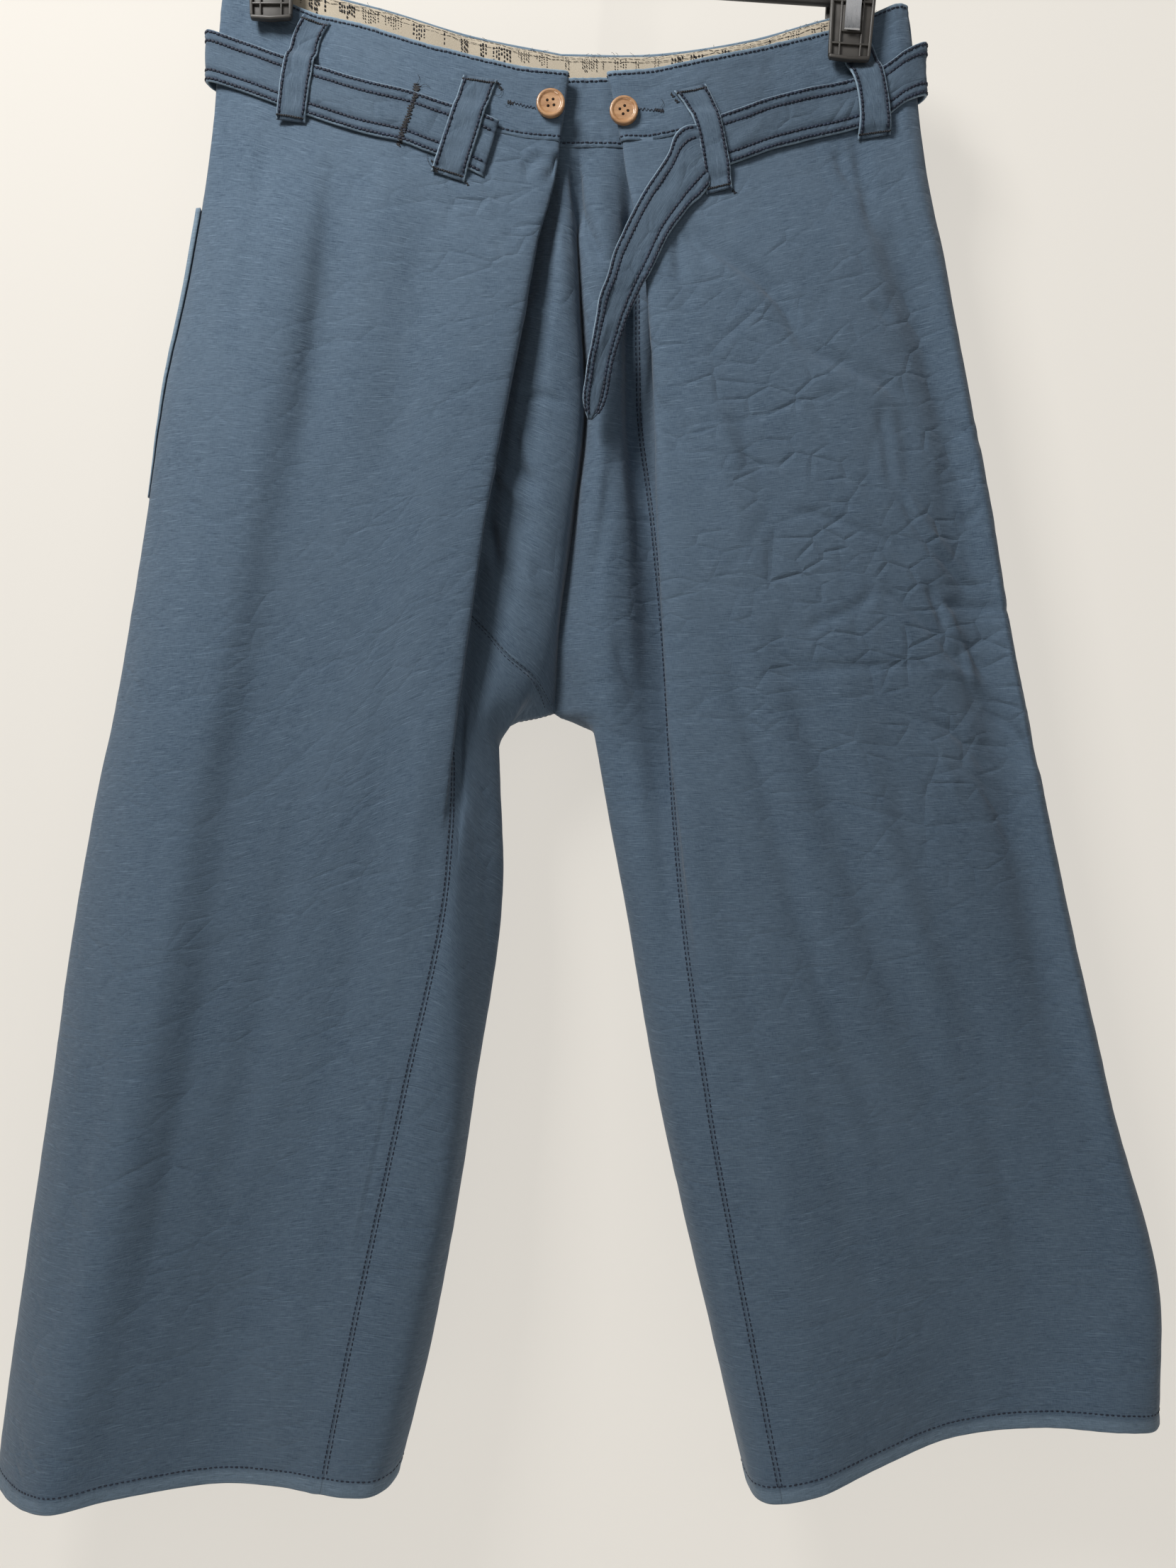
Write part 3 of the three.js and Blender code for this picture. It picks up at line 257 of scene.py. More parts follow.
rightFront = {
    "lines": ["middle", "outerMiddle", "band", "valley", "ridge", "side"],
    -170: [(95, -15), (135, -7.5), (180, -4.2), (208, -3.6), (219, -3.4), (227, 0)],
    -245: [(95, -20), (137, -14.5), (184, -9), (214, -7), (227, -7), (235, 0)],
    -320: [(108, -28), (150, -26), (198, -20), (229, -11), (243, -11), (250, 0)],
    -400: [(120, -32), (163, -29), (212, -22), (245, -12), (259, -13), (266, 0)],
    -480: [(127, -34), (173, -30), (224, -22), (259, -12), (273, -14), (280, 0)],
    -560: [(134, -35), (183, -31), (237, -22), (273, -12), (287, -15), (294, 0)],
    -610: [(139, -35), (190, -30), (245, -21), (283, -12), (297, -15), (304, 0)],
    -700: [(150, -34), (203, -29), (260, -21), (300, -13), (314, -16), (322, 0)],
    -850: [(171, -32), (226, -24), (287, -18), (331, -15), (346, -18), (354, 0)],
    -1000: [(192, -29), (246, -16), (312, -14), (360, -22), (378, -20), (387, 0)],
    -1100: [(205, -20), (253, -6), (300, -17), (345, -31), (374, -22), (386, 0)],
}
rightBack = {
    "lines": ["turn", "outer", "backMiddle", "quarter", "inner"],
    -130: [(217, 4.5), (178, 4.2), (120, 9), (60, 17), (0, 19)],
    -210: [(227, 6), (181, 6), (122, 12), (60, 20), (0, 21)],
    -300: [(243, 9), (202, 20), (130, 24), (62, 28), (0, 27)],
    -400: [(259, 11), (216, 26), (140, 31), (66, 33), (0, 31)],
    -560: [(286, 12), (242, 28), (156, 36), (74, 36), (-3, 30)],
    -603: [(294, 12), (248, 28), (162, 37), (78, 35), (-5, 23)],
    -609: [(295, 12), (249, 28), (163, 37), (80, 34), (8, 20)],
    -620: [(297, 12), (251, 28), (165, 37), (82, 32), (28, 15)],
    -700: [(312, 13), (266, 30), (178, 37), (94, 32), (43, 15)],
    -850: [(344, 14), (298, 32), (206, 36), (120, 31), (69, 13)],
    -1000: [(376, 15), (330, 33), (240, 33), (154, 29), (103, 11)],
    -1100: [(375, 15), (334, 34), (252, 30), (176, 28), (126, 9)],
}

cloth = {
    "frontSpacing": 2.8,   # millimetres between points
    "backSpacing": 3.8,
    "rowSpacing": 2.8,
    "thickness": 0.9,
    "hemHeight": 10,
    "hemFold": 1.7,        # between the two layers of the hem
    "bandHeight": 43,
}
backLines = ["inner", "quarter", "backMiddle", "outer"]


def smoothThrough(places, values, at):
    # a monotone curve through values at falling places, flat past both ends
    p = -np.array(places, float)
    v = np.array(values, float)
    q = np.clip(-np.asarray(at, float), p[0], p[-1])
    slope = np.diff(v) / np.diff(p)
    tangent = np.concatenate([slope[:1], np.zeros(len(v) - 2), slope[-1:]])
    before, after = slope[:-1], slope[1:]
    together = before * after > 0
    tangent[1:-1][together] = (2 * before * after)[together] / (before + after)[together]
    i = np.clip(np.searchsorted(p, q, side="right") - 1, 0, len(p) - 2)
    run = p[i + 1] - p[i]
    t = (q - p[i]) / run
    return ((2 * t**3 - 3 * t**2 + 1) * v[i] + (t**3 - 2 * t**2 + t) * run * tangent[i]
            + (3 * t**2 - 2 * t**3) * v[i + 1] + (t**3 - t**2) * run * tangent[i + 1])


def throughKeys(keys, steps):
    # points on smooth curves through keys[..., k, :], with steps[k] of them from each key to the next
    count = keys.shape[-2]
    parts = []
    for k in range(count - 1):
        p1, p2 = keys[..., k, :], keys[..., k + 1, :]
        p0 = keys[..., k - 1, :] if k else 2 * p1 - p2
        p3 = keys[..., k + 2, :] if k + 2 < count else 2 * p2 - p1
        gap = [np.sqrt(np.linalg.norm(b - a, axis=-1, keepdims=True))
               for a, b in ((p0, p1), (p1, p2), (p2, p3))]
        gap[1] = np.where(gap[1] < 1e-4, 1, gap[1])
        gap[0] = np.where(gap[0] < 1e-4, gap[1], gap[0])
        gap[2] = np.where(gap[2] < 1e-4, gap[1], gap[2])
        m1 = ((p1 - p0) / gap[0] - (p2 - p0) / (gap[0] + gap[1]) + (p2 - p1) / gap[1]) * gap[1]
        m2 = ((p2 - p1) / gap[1] - (p3 - p1) / (gap[1] + gap[2]) + (p3 - p2) / gap[2]) * gap[1]
        for step in range(steps[k]):
            t = step / steps[k]
            parts.append(p1 + m1 * t + (3 * (p2 - p1) - 2 * m1 - m2) * t**2
                         + (2 * (p1 - p2) + m1 + m2) * t**3)
    parts.append(keys[..., -1, :])
    return np.stack(parts, axis=-2)


def lineKeys(lines, tables, shares, split):
    # the place of every line at every row
    keys = []
    for name, waist, crotch, hem, *lean in lines:
        table = next(t for t in tables if name in t["lines"])
        column = table["lines"].index(name)
        levels = [level for level in table if level != "lines"]
        above = waist + (crotch - waist) * shares[:split + 1]
        below = crotch + (hem - crotch) * shares[split + 1:]
        height = np.concatenate([above, below])
        x, y = (smoothThrough(levels, [table[level][column][axis] for level in levels], height)
                for axis in (0, 1))
        keys.append(np.stack([x, y, height], axis=-1))
    return np.stack(keys, axis=1)


def makeHalf(lines, tables, shares, split):
    keys = lineKeys(lines, tables, shares, split)
    spans = np.linalg.norm(np.diff(keys, axis=1), axis=-1).max(axis=0)
    spacings = [cloth["backSpacing"] if line[0] in backLines else cloth["frontSpacing"] for line in lines]
    steps = [max(2, math.ceil(span / spacing)) for span, spacing in zip(spans, spacings)]
    starts = np.concatenate([[0], np.cumsum(steps)])
    leanAt = evenly(np.array([line[4:] for line in lines], float), np.arange(starts[-1] + 1), starts)
    return {
        "points": throughKeys(keys, steps),
        "column": {line[0]: int(start) for line, start in zip(lines, starts)},
        "lean": leanAt,
    }


def outwardOf(points, before=None, after=None):
    # the outward direction at each point; before and after are the columns past both ends
    first = points[:, :1] if before is None else before[:, None]
    last = points[:, -1:] if after is None else after[:, None]
    wide = np.concatenate([first, points, last], axis=1)
    along = wide[:, 2:] - wide[:, :-2]
    tall = np.concatenate([points[:1], points, points[-1:]], axis=0)
    down = tall[2:] - tall[:-2]
    normal = np.cross(down, along)
    return normal / np.maximum(np.linalg.norm(normal, axis=-1, keepdims=True), 1e-9)


def bothOutward(left, right, split):
    # the outward directions of both halves, run on across the seams
    a, b = left["points"], right["points"]
    above = (np.arange(len(a)) <= split)[:, None]
    left["outward"] = outwardOf(a, np.where(above, b[:, -2], a[:, -2]), np.where(above, b[:, 1], a[:, 1]))
    right["outward"] = outwardOf(b, np.where(above, a[:, -2], b[:, -2]), np.where(above, a[:, 1], b[:, 1]))


rowsAbove = math.ceil(370 / cloth["rowSpacing"])
rowsBelow = math.ceil(495 / cloth["rowSpacing"])
splitRow = rowsAbove
rowShares = np.concatenate([np.linspace(0, 1, rowsAbove + 1), np.linspace(0, 1, rowsBelow + 1)[1:]])
left = makeHalf(leftLines, [leftBack, leftFront, leftFlap, leftInside], rowShares, splitRow)
right = makeHalf(rightLines, [rightInside, rightFlap, rightFront, rightBack], rowShares, splitRow)
bothOutward(left, right, splitRow)
hemRow = len(rowShares) - 1
print("  points:", left["points"].shape[:2], right["points"].shape[:2])


def latticeNoise(a, b, cell, seed):
    # smooth noise from -1 to 1 over places a, b, with features about cell across
    table = np.random.default_rng(seed).uniform(-1, 1, (64, 64))
    ga, gb = a / cell, b / cell
    ia, ib = np.floor(ga).astype(int), np.floor(gb).astype(int)
    fa, fb = ga - ia, gb - ib
    fa, fb = fa * fa * (3 - 2 * fa), fb * fb * (3 - 2 * fb)
    corner = lambda da, db: table[(ia + da) & 63, (ib + db) & 63]
    upper = corner(0, 0) * (1 - fa) + corner(1, 0) * fa
    lower = corner(0, 1) * (1 - fa) + corner(1, 1) * fa
    return upper * (1 - fb) + lower * fb


def refineLine(points, steps=6):
    return throughKeys(np.array(points, float), [steps] * (len(points) - 1))


def creaseField(a, b, creases, unit=1.0):
    # the height of listed creases: each is its points, its half width and its height
    total = np.zeros_like(a)
    for points, width, height in creases:
        line = refineLine(points) * unit
        reach = 3.5 * width
        near = ((a > line[:, 0].min() - reach) & (a < line[:, 0].max() + reach)
                & (b > line[:, 1].min() - reach) & (b < line[:, 1].max() + reach))
        if not near.any():
            continue
        pa, pb = a[near], b[near]
        best = np.full(pa.shape, 1e9)
        share = np.zeros(pa.shape)
        for k in range(len(line) - 1):
            (ax, ay), (bx, by) = line[k], line[k + 1]
            dx, dy = bx - ax, by - ay
            length = dx * dx + dy * dy
            t = np.clip(((pa - ax) * dx + (pb - ay) * dy) / length, 0, 1)
            offA, offB = pa - ax - t * dx, pb - ay - t * dy
            side = np.sign(dx * offB - dy * offA)
            distance = np.hypot(offA, offB) * np.where(side > 0, 1.0, 0.62)
            closer = distance < best
            best[closer] = distance[closer]
            share[closer] = ((k + t) / (len(line) - 1))[closer]
        fade = np.clip(np.minimum(share, 1 - share) * 5, 0, 1)
        total[near] += height * np.exp(-(best / width) ** 2) * (0.35 + 0.65 * fade)
    return total

print("creases")

# Creases seen in the photo: the pixels that each runs through, its half width and its height in millimetres.
creaseUnit = 0.4446   # millimetres a pixel on the front of the legs
creaseStrength = 2.1
rightLegCreases = [
    ([(985, 322), (1012, 354), (1046, 378), (1082, 406), (1110, 440), (1130, 484)], 4.0, -1.9),
    ([(992, 352), (1030, 390), (1062, 420), (1090, 455)], 6.0, 1.1),
    ([(1130, 484), (1165, 506), (1200, 520), (1240, 538), (1270, 556)], 3.4, -1.3),
    ([(1150, 522), (1200, 545), (1250, 575)], 6.0, 0.7),
    ([(952, 330), (956, 362), (957, 392)], 3.0, -1.2),
    ([(962, 320), (985, 350), (1000, 372)], 3.0, -0.9),
    ([(1230, 430), (1243, 441), (1256, 454)], 2.0, -0.9),
    ([(1205, 200), (1214, 240), (1222, 280), (1231, 320)], 4.0, -1.2),
    ([(1180, 215), (1188, 240), (1204, 262)], 3.0, -1.0),
    ([(926, 560), (940, 600), (962, 650)], 5.0, -1.1),
    ([(940, 450), (975, 540), (1010, 630), (1040, 720), (1062, 790)], 8.0, 1.2),
    ([(1005, 560), (1020, 610), (1045, 665)], 4.0, 0.8),
    ([(1240, 580), (1248, 610), (1252, 650), (1258, 690)], 3.0, -0.8),
    ([(1268, 560), (1278, 620), (1284, 700)], 5.0, -0.9),
    ([(1110, 718), (1160, 730), (1200, 742), (1235, 756), (1270, 772)], 2.1, -0.9),
    ([(1278, 692), (1290, 722), (1310, 752), (1340, 785), (1368, 815), (1396, 836)], 2.1, 1.1),
    ([(1272, 700), (1286, 730), (1306, 760), (1336, 794), (1364, 824)], 2.4, -0.9),
    ([(1138, 892), (1160, 878), (1190, 866), (1214, 852), (1234, 838)], 2.1, -0.9),
    ([(1244, 836), (1262, 842), (1288, 864), (1318, 892), (1340, 920), (1352, 940)], 2.3, -1.1),
    ([(1330, 852), (1370, 857), (1424, 861)], 2.0, -1.1),
    ([(1308, 826), (1316, 842), (1326, 866), (1334, 892)], 2.4, -1.5),
    ([(1328, 850), (1344, 880), (1362, 905), (1370, 940), (1376, 968)], 2.6, 1.2),
    ([(1362, 902), (1376, 924), (1394, 950)], 2.2, -1.2),
    ([(1086, 950), (1150, 947), (1200, 944), (1260, 940), (1310, 944)], 2.1, -0.9),
    ([(1300, 946), (1340, 946), (1370, 956), (1400, 976)], 2.1, 0.9),
    ([(1310, 1010), (1350, 1040), (1376, 1066), (1402, 1092)], 2.6, -1.0),
    ([(1397, 1000), (1426, 1030), (1460, 1078)], 3.0, -1.2),
    ([(1300, 1030), (1330, 1075), (1350, 1130)], 3.0, 0.8),
    ([(1380, 1090), (1400, 1130), (1432, 1190)], 3.5, -0.8),
    ([(1340, 600), (1360, 610), (1380, 625)], 2.4, -0.9),
    ([(1358, 738), (1372, 730), (1386, 710)], 2.2, -0.9),
    ([(1236, 300), (1256, 350), (1282, 420), (1312, 500), (1332, 580), (1350, 680)], 9.0, -1.7),
    ([(1262, 250), (1282, 330), (1308, 430), (1330, 520), (1352, 620)], 6.0, 0.9),
    ([(1332, 700), (1364, 840), (1402, 1020), (1440, 1200), (1470, 1360), (1492, 1500)], 11.0, -1.9),
    ([(1010, 860), (1046, 980), (1080, 1100), (1130, 1300), (1200, 1500), (1262, 1660)], 8.5, -1.4),
    ([(1040, 880), (1072, 1000), (1110, 1130), (1166, 1320), (1240, 1500)], 9.0, 0.9),
    ([(1100, 900), (1146, 1050), (1192, 1200), (1250, 1380), (1330, 1560)], 8.5, -1.3),
    ([(1170, 900), (1216, 1060), (1262, 1220), (1322, 1400), (1392, 1600)], 10.0, 1.0),
    ([(1240, 1050), (1290, 1210), (1340, 1360), (1400, 1500)], 8.0, -0.9),
    ([(1000, 1180), (1030, 1320), (1064, 1460), (1110, 1600)], 7.0, -0.9),
    ([(1140, 1500), (1180, 1640), (1212, 1760), (1236, 1860)], 10.0, -1.0),
    ([(1330, 1400), (1382, 1560), (1424, 1700), (1450, 1840)], 9.0, -1.1),
    ([(1060, 1500), (1100, 1660), (1140, 1850)], 9.0, 0.8),
]
leftLegCreases = [
    ([(762, 212), (752, 226), (740, 240)], 2.2, -1.1),
    ([(745, 214), (766, 213), (788, 216)], 2.0, 1.0),
    ([(787, 218), (782, 236), (770, 252)], 2.0, -1.0),
    ([(744, 216), (756, 234), (770, 252)], 2.0, 0.9),
    ([(478, 190), (464, 300), (452, 420), (436, 560), (424, 660)], 8.0, -1.1),
    ([(540, 215), (530, 330), (508, 470), (484, 640)], 13.0, 1.2),
    ([(596, 300), (580, 420), (560, 560), (540, 700)], 12.0, -0.9),
    ([(380, 180), (366, 260), (352, 340), (330, 470)], 6.0, -0.9),
    ([(560, 900), (540, 1080), (516, 1260), (480, 1460), (440, 1640)], 12.0, -1.0),
    ([(480, 1000), (452, 1180), (420, 1360), (376, 1580), (340, 1760)], 14.0, 1.0),
    ([(420, 1150), (392, 1320), (352, 1520), (312, 1700)], 11.0, -0.8),
    ([(300, 1350), (270, 1500), (236, 1680), (206, 1850)], 9.0, -0.8),
    ([(600, 1000), (586, 1150), (566, 1300)], 6.0, 0.6),
    ([(150, 1400), (126, 1560), (100, 1720), (76, 1880)], 8.0, -0.7),
    ([(470, 1700), (450, 1830), (436, 1960)], 8.0, -0.7),
    ([(540, 1480), (520, 1640), (500, 1800)], 7.0, 0.6),
]
centreCreases = [
    ([(806, 214), (811, 258), (821, 308), (838, 348), (850, 370)], 3.4, -2.2),
    ([(800, 236), (796, 300), (792, 360), (796, 430)], 5.0, 0.9),
    ([(731, 556), (760, 558), (800, 572)], 2.2, -1.0),
    ([(683, 734), (691, 758), (699, 804)], 3.0, -1.8),
    ([(700, 664), (722, 690), (736, 716)], 3.0, 1.2),
    ([(706, 650), (742, 668), (754, 690)], 3.0, -1.1),
    ([(738, 604), (744, 640), (754, 680)], 2.6, 1.0),
    ([(736, 716), (752, 770), (760, 830)], 5.0, -0.8),
    ([(770, 640), (764, 720), (752, 800), (736, 870)], 7.0, 0.9),
    ([(712, 780), (722, 830), (744, 880)], 4.0, -0.8),
    ([(862, 640), (856, 700), (848, 750), (836, 810), (830, 850)], 4.0, -1.1),
    ([(868, 900), (882, 950), (900, 985)], 3.0, -0.8),
    ([(768, 444), (752, 430), (742, 452)], 2.6, 0.8),
    ([(836, 400), (850, 440), (852, 480)], 5.0, -0.7),
]
# Creases of the back, in millimetres across and up.
backCreases = [
    ([(-18, -566), (-60, -520), (-96, -466)], 5.0, -1.3),
    ([(16, -570), (62, -528), (104, -480)], 5.0, -1.2),
    ([(-26, -596), (-84, -606), (-150, -590)], 4.0, -1.1),
    ([(20, -598), (90, -612), (164, -596)], 4.0, -1.1),
    ([(-60, -634), (-110, -650), (-170, -640)], 5.0, 1.0),
    ([(60, -640), (120, -660), (190, -644)], 5.0, 1.0),
    ([(-50, -300), (-58, -400), (-72, -510)], 9.0, -1.2),
    ([(52, -290), (62, -400), (78, -520)], 9.0, 1.1),
    ([(-120, -260), (-140, -420), (-156, -600), (-176, -820), (-204, -1020)], 12.0, -1.6),
    ([(124, -262), (146, -430), (168, -620), (206, -840), (250, -1030)], 12.0, -1.6),
    ([(-176, -280), (-200, -440), (-222, -620), (-250, -860), (-276, -1040)], 11.0, 1.3),
    ([(178, -280), (208, -460), (240, -660), (284, -880), (312, -1040)], 11.0, 1.3),
    ([(-90, -700), (-126, -850), (-150, -1000)], 9.0, 1.0),
    ([(110, -720), (154, -870), (196, -1020)], 9.0, -1.0),
    ([(90, -376), (122, -400), (160, -402)], 2.4, -0.9),
    ([(60, -450), (110, -466), (150, -500)], 2.4, -0.9),
]
crumples = {
    "fine": {"cell": 17, "depth": 0.2},
    "coarse": {"cell": 46, "depth": 0.38},
    # where the cloth is crumpled most: the pixel, the reach in pixels and the strength
    "places": [(1290, 850, 190, 1.0), (1150, 560, 190, 0.65), (1000, 400, 130, 0.6), (680, 290, 110, 0.7),
               (1330, 1050, 170, 0.55), (1060, 780, 150, 0.4)],
    "rest": 0.16,
    "drift": {"cell": 95, "depth": 0.9},
}


def rowLengths(points):
    # how far along each row of the cloth every point lies
    gaps = np.linalg.norm(np.diff(points, axis=1), axis=-1)
    return np.concatenate([np.zeros((len(points), 1)), np.cumsum(gaps, axis=1)], axis=1)


def ridged(a, b, cell, seed):
    # thin sharp folds between broad flats, from 0 to -1
    bend = 0.45 * cell * latticeNoise(a, b, cell * 1.7, seed + 5)
    noise = latticeNoise(a + bend, b - bend, cell, seed)
    return -np.clip(1 - np.abs(noise) * 2.4, 0, 1) ** 2.2


def crumpledCloth(half, creases, seed):
    # how far every point of a half stands out from its plain shape
    points, column = half["points"], half["column"]
    across, down = photoPlace(points)
    along = rowLengths(points)
    height = points[..., 2]
    index = np.arange(points.shape[1])
    flapSide, innerSide = sorted((column["side"], column["foldEdge"]))
    onFront = ((index >= flapSide) & (index <= innerSide)).astype(float)
    backEdge = column["turn"]
    isBack = (index <= backEdge) if backEdge < column["side"] else (index >= backEdge)
    onBack = isBack.astype(float)
    inside = 1 - np.clip(onFront + onBack, 0, 1)
    inside[min(column["turn"], column["side"]):max(column["turn"], column["side"])] = 0
    front = creaseField(across * creaseUnit, down * creaseUnit, creases, creaseUnit)
    deep = creaseField(across * creaseUnit, down * creaseUnit, centreCreases, creaseUnit)
    behind = creaseField(points[..., 0], height, backCreases)
    strength = np.full(across.shape, crumples["rest"])
    for u, v, reach, amount in crumples["places"]:
        strength += amount * np.exp(-((across - u) ** 2 + (down - v) ** 2) / reach**2)
    strength = np.where(isBack, 0.35, strength)
    half["crumple"] = np.clip(strength + 0.25, 0, 1.3)
    folds = sum(crumples[kind]["depth"] * ridged(along, height, crumples[kind]["cell"], seed + n)
                for n, kind in enumerate(("fine", "coarse")))
    drift = crumples["drift"]["depth"] * latticeNoise(along, height, crumples["drift"]["cell"], seed + 9)
    small = 0.12 * latticeNoise(along, height, 9, seed + 12)
    share = np.clip((points[:1, :, 2] - height) / 14, 0, 1)   # the top is held by the waistband
    edges = np.clip(np.minimum(index, len(index) - 1 - index) / 4, 0, 1)
    field = creaseStrength * (front * onFront + deep * inside + behind * onBack + folds * strength * edges)
    field = field + (drift + small) * edges
    return field * share


def stepOut(half, field):
    half["points"] = half["points"] + half["outward"] * field[..., None]


stepOut(left, crumpledCloth(left, leftLegCreases, 11))
stepOut(right, crumpledCloth(right, rightLegCreases, 41))
# the two halves share the centre and back seams, and each leg closes on itself below the crotch
for row in range(hemRow + 1):
    a, b = left["points"][row], right["points"][row]
    for first, second in ((a, b), (b, a)) if row <= splitRow else ((a, a), (b, b)):
        first[-1] = second[0] = (first[-1] + second[0]) / 2
bothOutward(left, right, splitRow)

print("materials")


def plug(tree, socket, value):
    # a socket takes another node's output or a plain value
    if hasattr(value, "links"):
        tree.links.new(value, socket)
    else:
        socket.default_value = value


def fillNode(tree, node, inputs):
    for key, value in inputs.items():
        plug(tree, node.inputs[key], value)


def addNode(tree, kind, inputs=None, **settings):
    node = tree.nodes.new(kind)
    for name, value in settings.items():
        setattr(node, name, value)
    fillNode(tree, node, inputs or {})
    return node


def mixColour(tree, factor, first, second):
    node = addNode(tree, "ShaderNodeMix", data_type="RGBA")
    for number, value in ((0, factor), (6, first), (7, second)):
        plug(tree, node.inputs[number], (*value, 1) if isinstance(value, tuple) else value)
    return node.outputs[2]


def calculate(tree, operation, first, second=0.0, third=0.0, clamp=False):
    node = addNode(tree, "ShaderNodeMath", operation=operation, use_clamp=clamp)
    for socket, value in zip(node.inputs, (first, second, third)):
        plug(tree, socket, value)
    return node.outputs[0]


def times(tree, first, second, clamp=False):
    return calculate(tree, "MULTIPLY", first, second, clamp=clamp)


def stretchedNoise(tree, vector, scale, detail, offset=(0, 0, 0)):
    mapping = addNode(tree, "ShaderNodeMapping", {"Vector": vector, "Scale": scale, "Location": offset})
    noise = addNode(tree, "ShaderNodeTexNoise",
                    {"Vector": mapping.outputs[0], "Scale": 1.0, "Detail": detail, "Roughness": 0.55})
    return noise.outputs["Fac"]


def ramp(tree, value, low, high):
    # 0 below low and 1 above high
    return addNode(tree, "ShaderNodeMapRange", {"Value": value, "From Min": low, "From Max": high}).outputs[0]


def bumpFrom(tree, height, strength, distance, **under):
    return addNode(tree, "ShaderNodeBump",
                   {"Height": height, "Strength": strength, "Distance": distance, **under}).outputs[0]


def newGroup(name, inputs, outputs):
    group = bpy.data.node_groups.new(name, "ShaderNodeTree")
    for kind, title, value in inputs:
        socket = group.interface.new_socket(name=title, in_out="INPUT", socket_type=kind)
        if value is not None:
            socket.default_value = value
    for kind, title in outputs:
        group.interface.new_socket(name=title, in_out="OUTPUT", socket_type=kind)
    return group, group.nodes.new("NodeGroupInput"), group.nodes.new("NodeGroupOutput")


def makeWeaveGroup():
    # a slubby plain weave: Tone is its light and dark threads, Height its relief, Fade its broad patches
    group, given, result = newGroup(
        "slubbyWeave",
        [("NodeSocketVector", "Place", None), ("NodeSocketFloat", "Slub", 1.0)],
        [("NodeSocketFloat", "Tone"), ("NodeSocketFloat", "Height"), ("NodeSocketFloat", "Fade")],
    )
    place, slub = given.outputs["Place"], given.outputs["Slub"]
    longSlubs = ramp(group, stretchedNoise(group, place, (52, 1150, 1), 2.0), 0.57, 0.75)
    darkSlubs = ramp(group, stretchedNoise(group, place, (70, 1400, 1), 2.0, (7, 3, 2)), 0.56, 0.76)
    weft = stretchedNoise(group, place, (210, 1900, 1), 1.0, (1, 9, 4))
    warp = stretchedNoise(group, place, (2100, 260, 1), 1.0, (5, 2, 8))
    fine = calculate(group, "ADD", times(group, weft, 0.62), times(group, warp, 0.38))
    bright = times(group, times(group, longSlubs, 0.42), slub)
    dark = times(group, times(group, darkSlubs, 0.30), slub)
    broad = stretchedNoise(group, place, (13, 9, 1), 3.0, (3, 1, 5))
    patches = stretchedNoise(group, place, (60, 46, 1), 2.0, (2, 6, 1))
    fillNode(group, result, {
        "Tone": calculate(group, "SUBTRACT", calculate(group, "ADD", fine, bright), dark, clamp=True),
        "Height": calculate(group, "ADD", fine, times(group, longSlubs, 0.5)),
        "Fade": calculate(group, "ADD", times(group, broad, 0.6), times(group, patches, 0.4)),
    })
    return group


weaveGroup = makeWeaveGroup()


def makeCrinkleGroup():
    # small sharp creases that meet in stars, as in cloth that was folded while damp
    group, given, result = newGroup(
        "smallCreases",
        [("NodeSocketVector", "Place", None), ("NodeSocketFloat", "Strength", 1.0)],
        [("NodeSocketFloat", "Height")],
    )
    height = 0.0
    for scale, depth, sharp, offset in ((30, 0.55, 0.15, (0, 0, 0)), (68, 0.42, 0.16, (3, 1, 0))):
        place = addNode(group, "ShaderNodeMapping", {
            "Vector": given.outputs["Place"], "Scale": (scale * 0.66, scale, 1), "Location": offset,
            "Rotation": (0, 0, 0.5 - 0.02 * scale),
        }).outputs[0]
        stir = addNode(group, "ShaderNodeTexNoise", {"Vector": place, "Scale": 0.9, "Detail": 3.0})
        shift = addNode(group, "ShaderNodeVectorMath", {0: stir.outputs["Color"], 1: (0.5, 0.5, 0.5)},
                        operation="SUBTRACT")
        moved = addNode(group, "ShaderNodeVectorMath", {0: shift.outputs[0], 1: (0.1, 0.1, 0), 2: place},
                        operation="MULTIPLY_ADD")
        cells = addNode(group, "ShaderNodeTexVoronoi", {"Vector": moved.outputs[0], "Scale": 1.0},
                        feature="DISTANCE_TO_EDGE", voronoi_dimensions="2D")
        flats = ramp(group, cells.outputs["Distance"], 0.0, sharp)
        crease = calculate(group, "POWER", calculate(group, "SUBTRACT", 1.0, flats), 1.35)
        patch = ramp(group, stretchedNoise(group, place, (0.45, 0.45, 1), 1.0, (offset[1], 4, 2)), 0.42, 0.62)
        height = calculate(group, "ADD", height, times(group, times(group, crease, patch), -depth))
    fillNode(group, result, {"Height": times(group, height, given.outputs["Strength"])})
    return group


crinkleGroup = makeCrinkleGroup()


def startMaterial(name):
    material = bpy.data.materials.new(name)
    material.use_nodes = True
    tree = material.node_tree
    return material, tree, tree.nodes["Principled BSDF"]


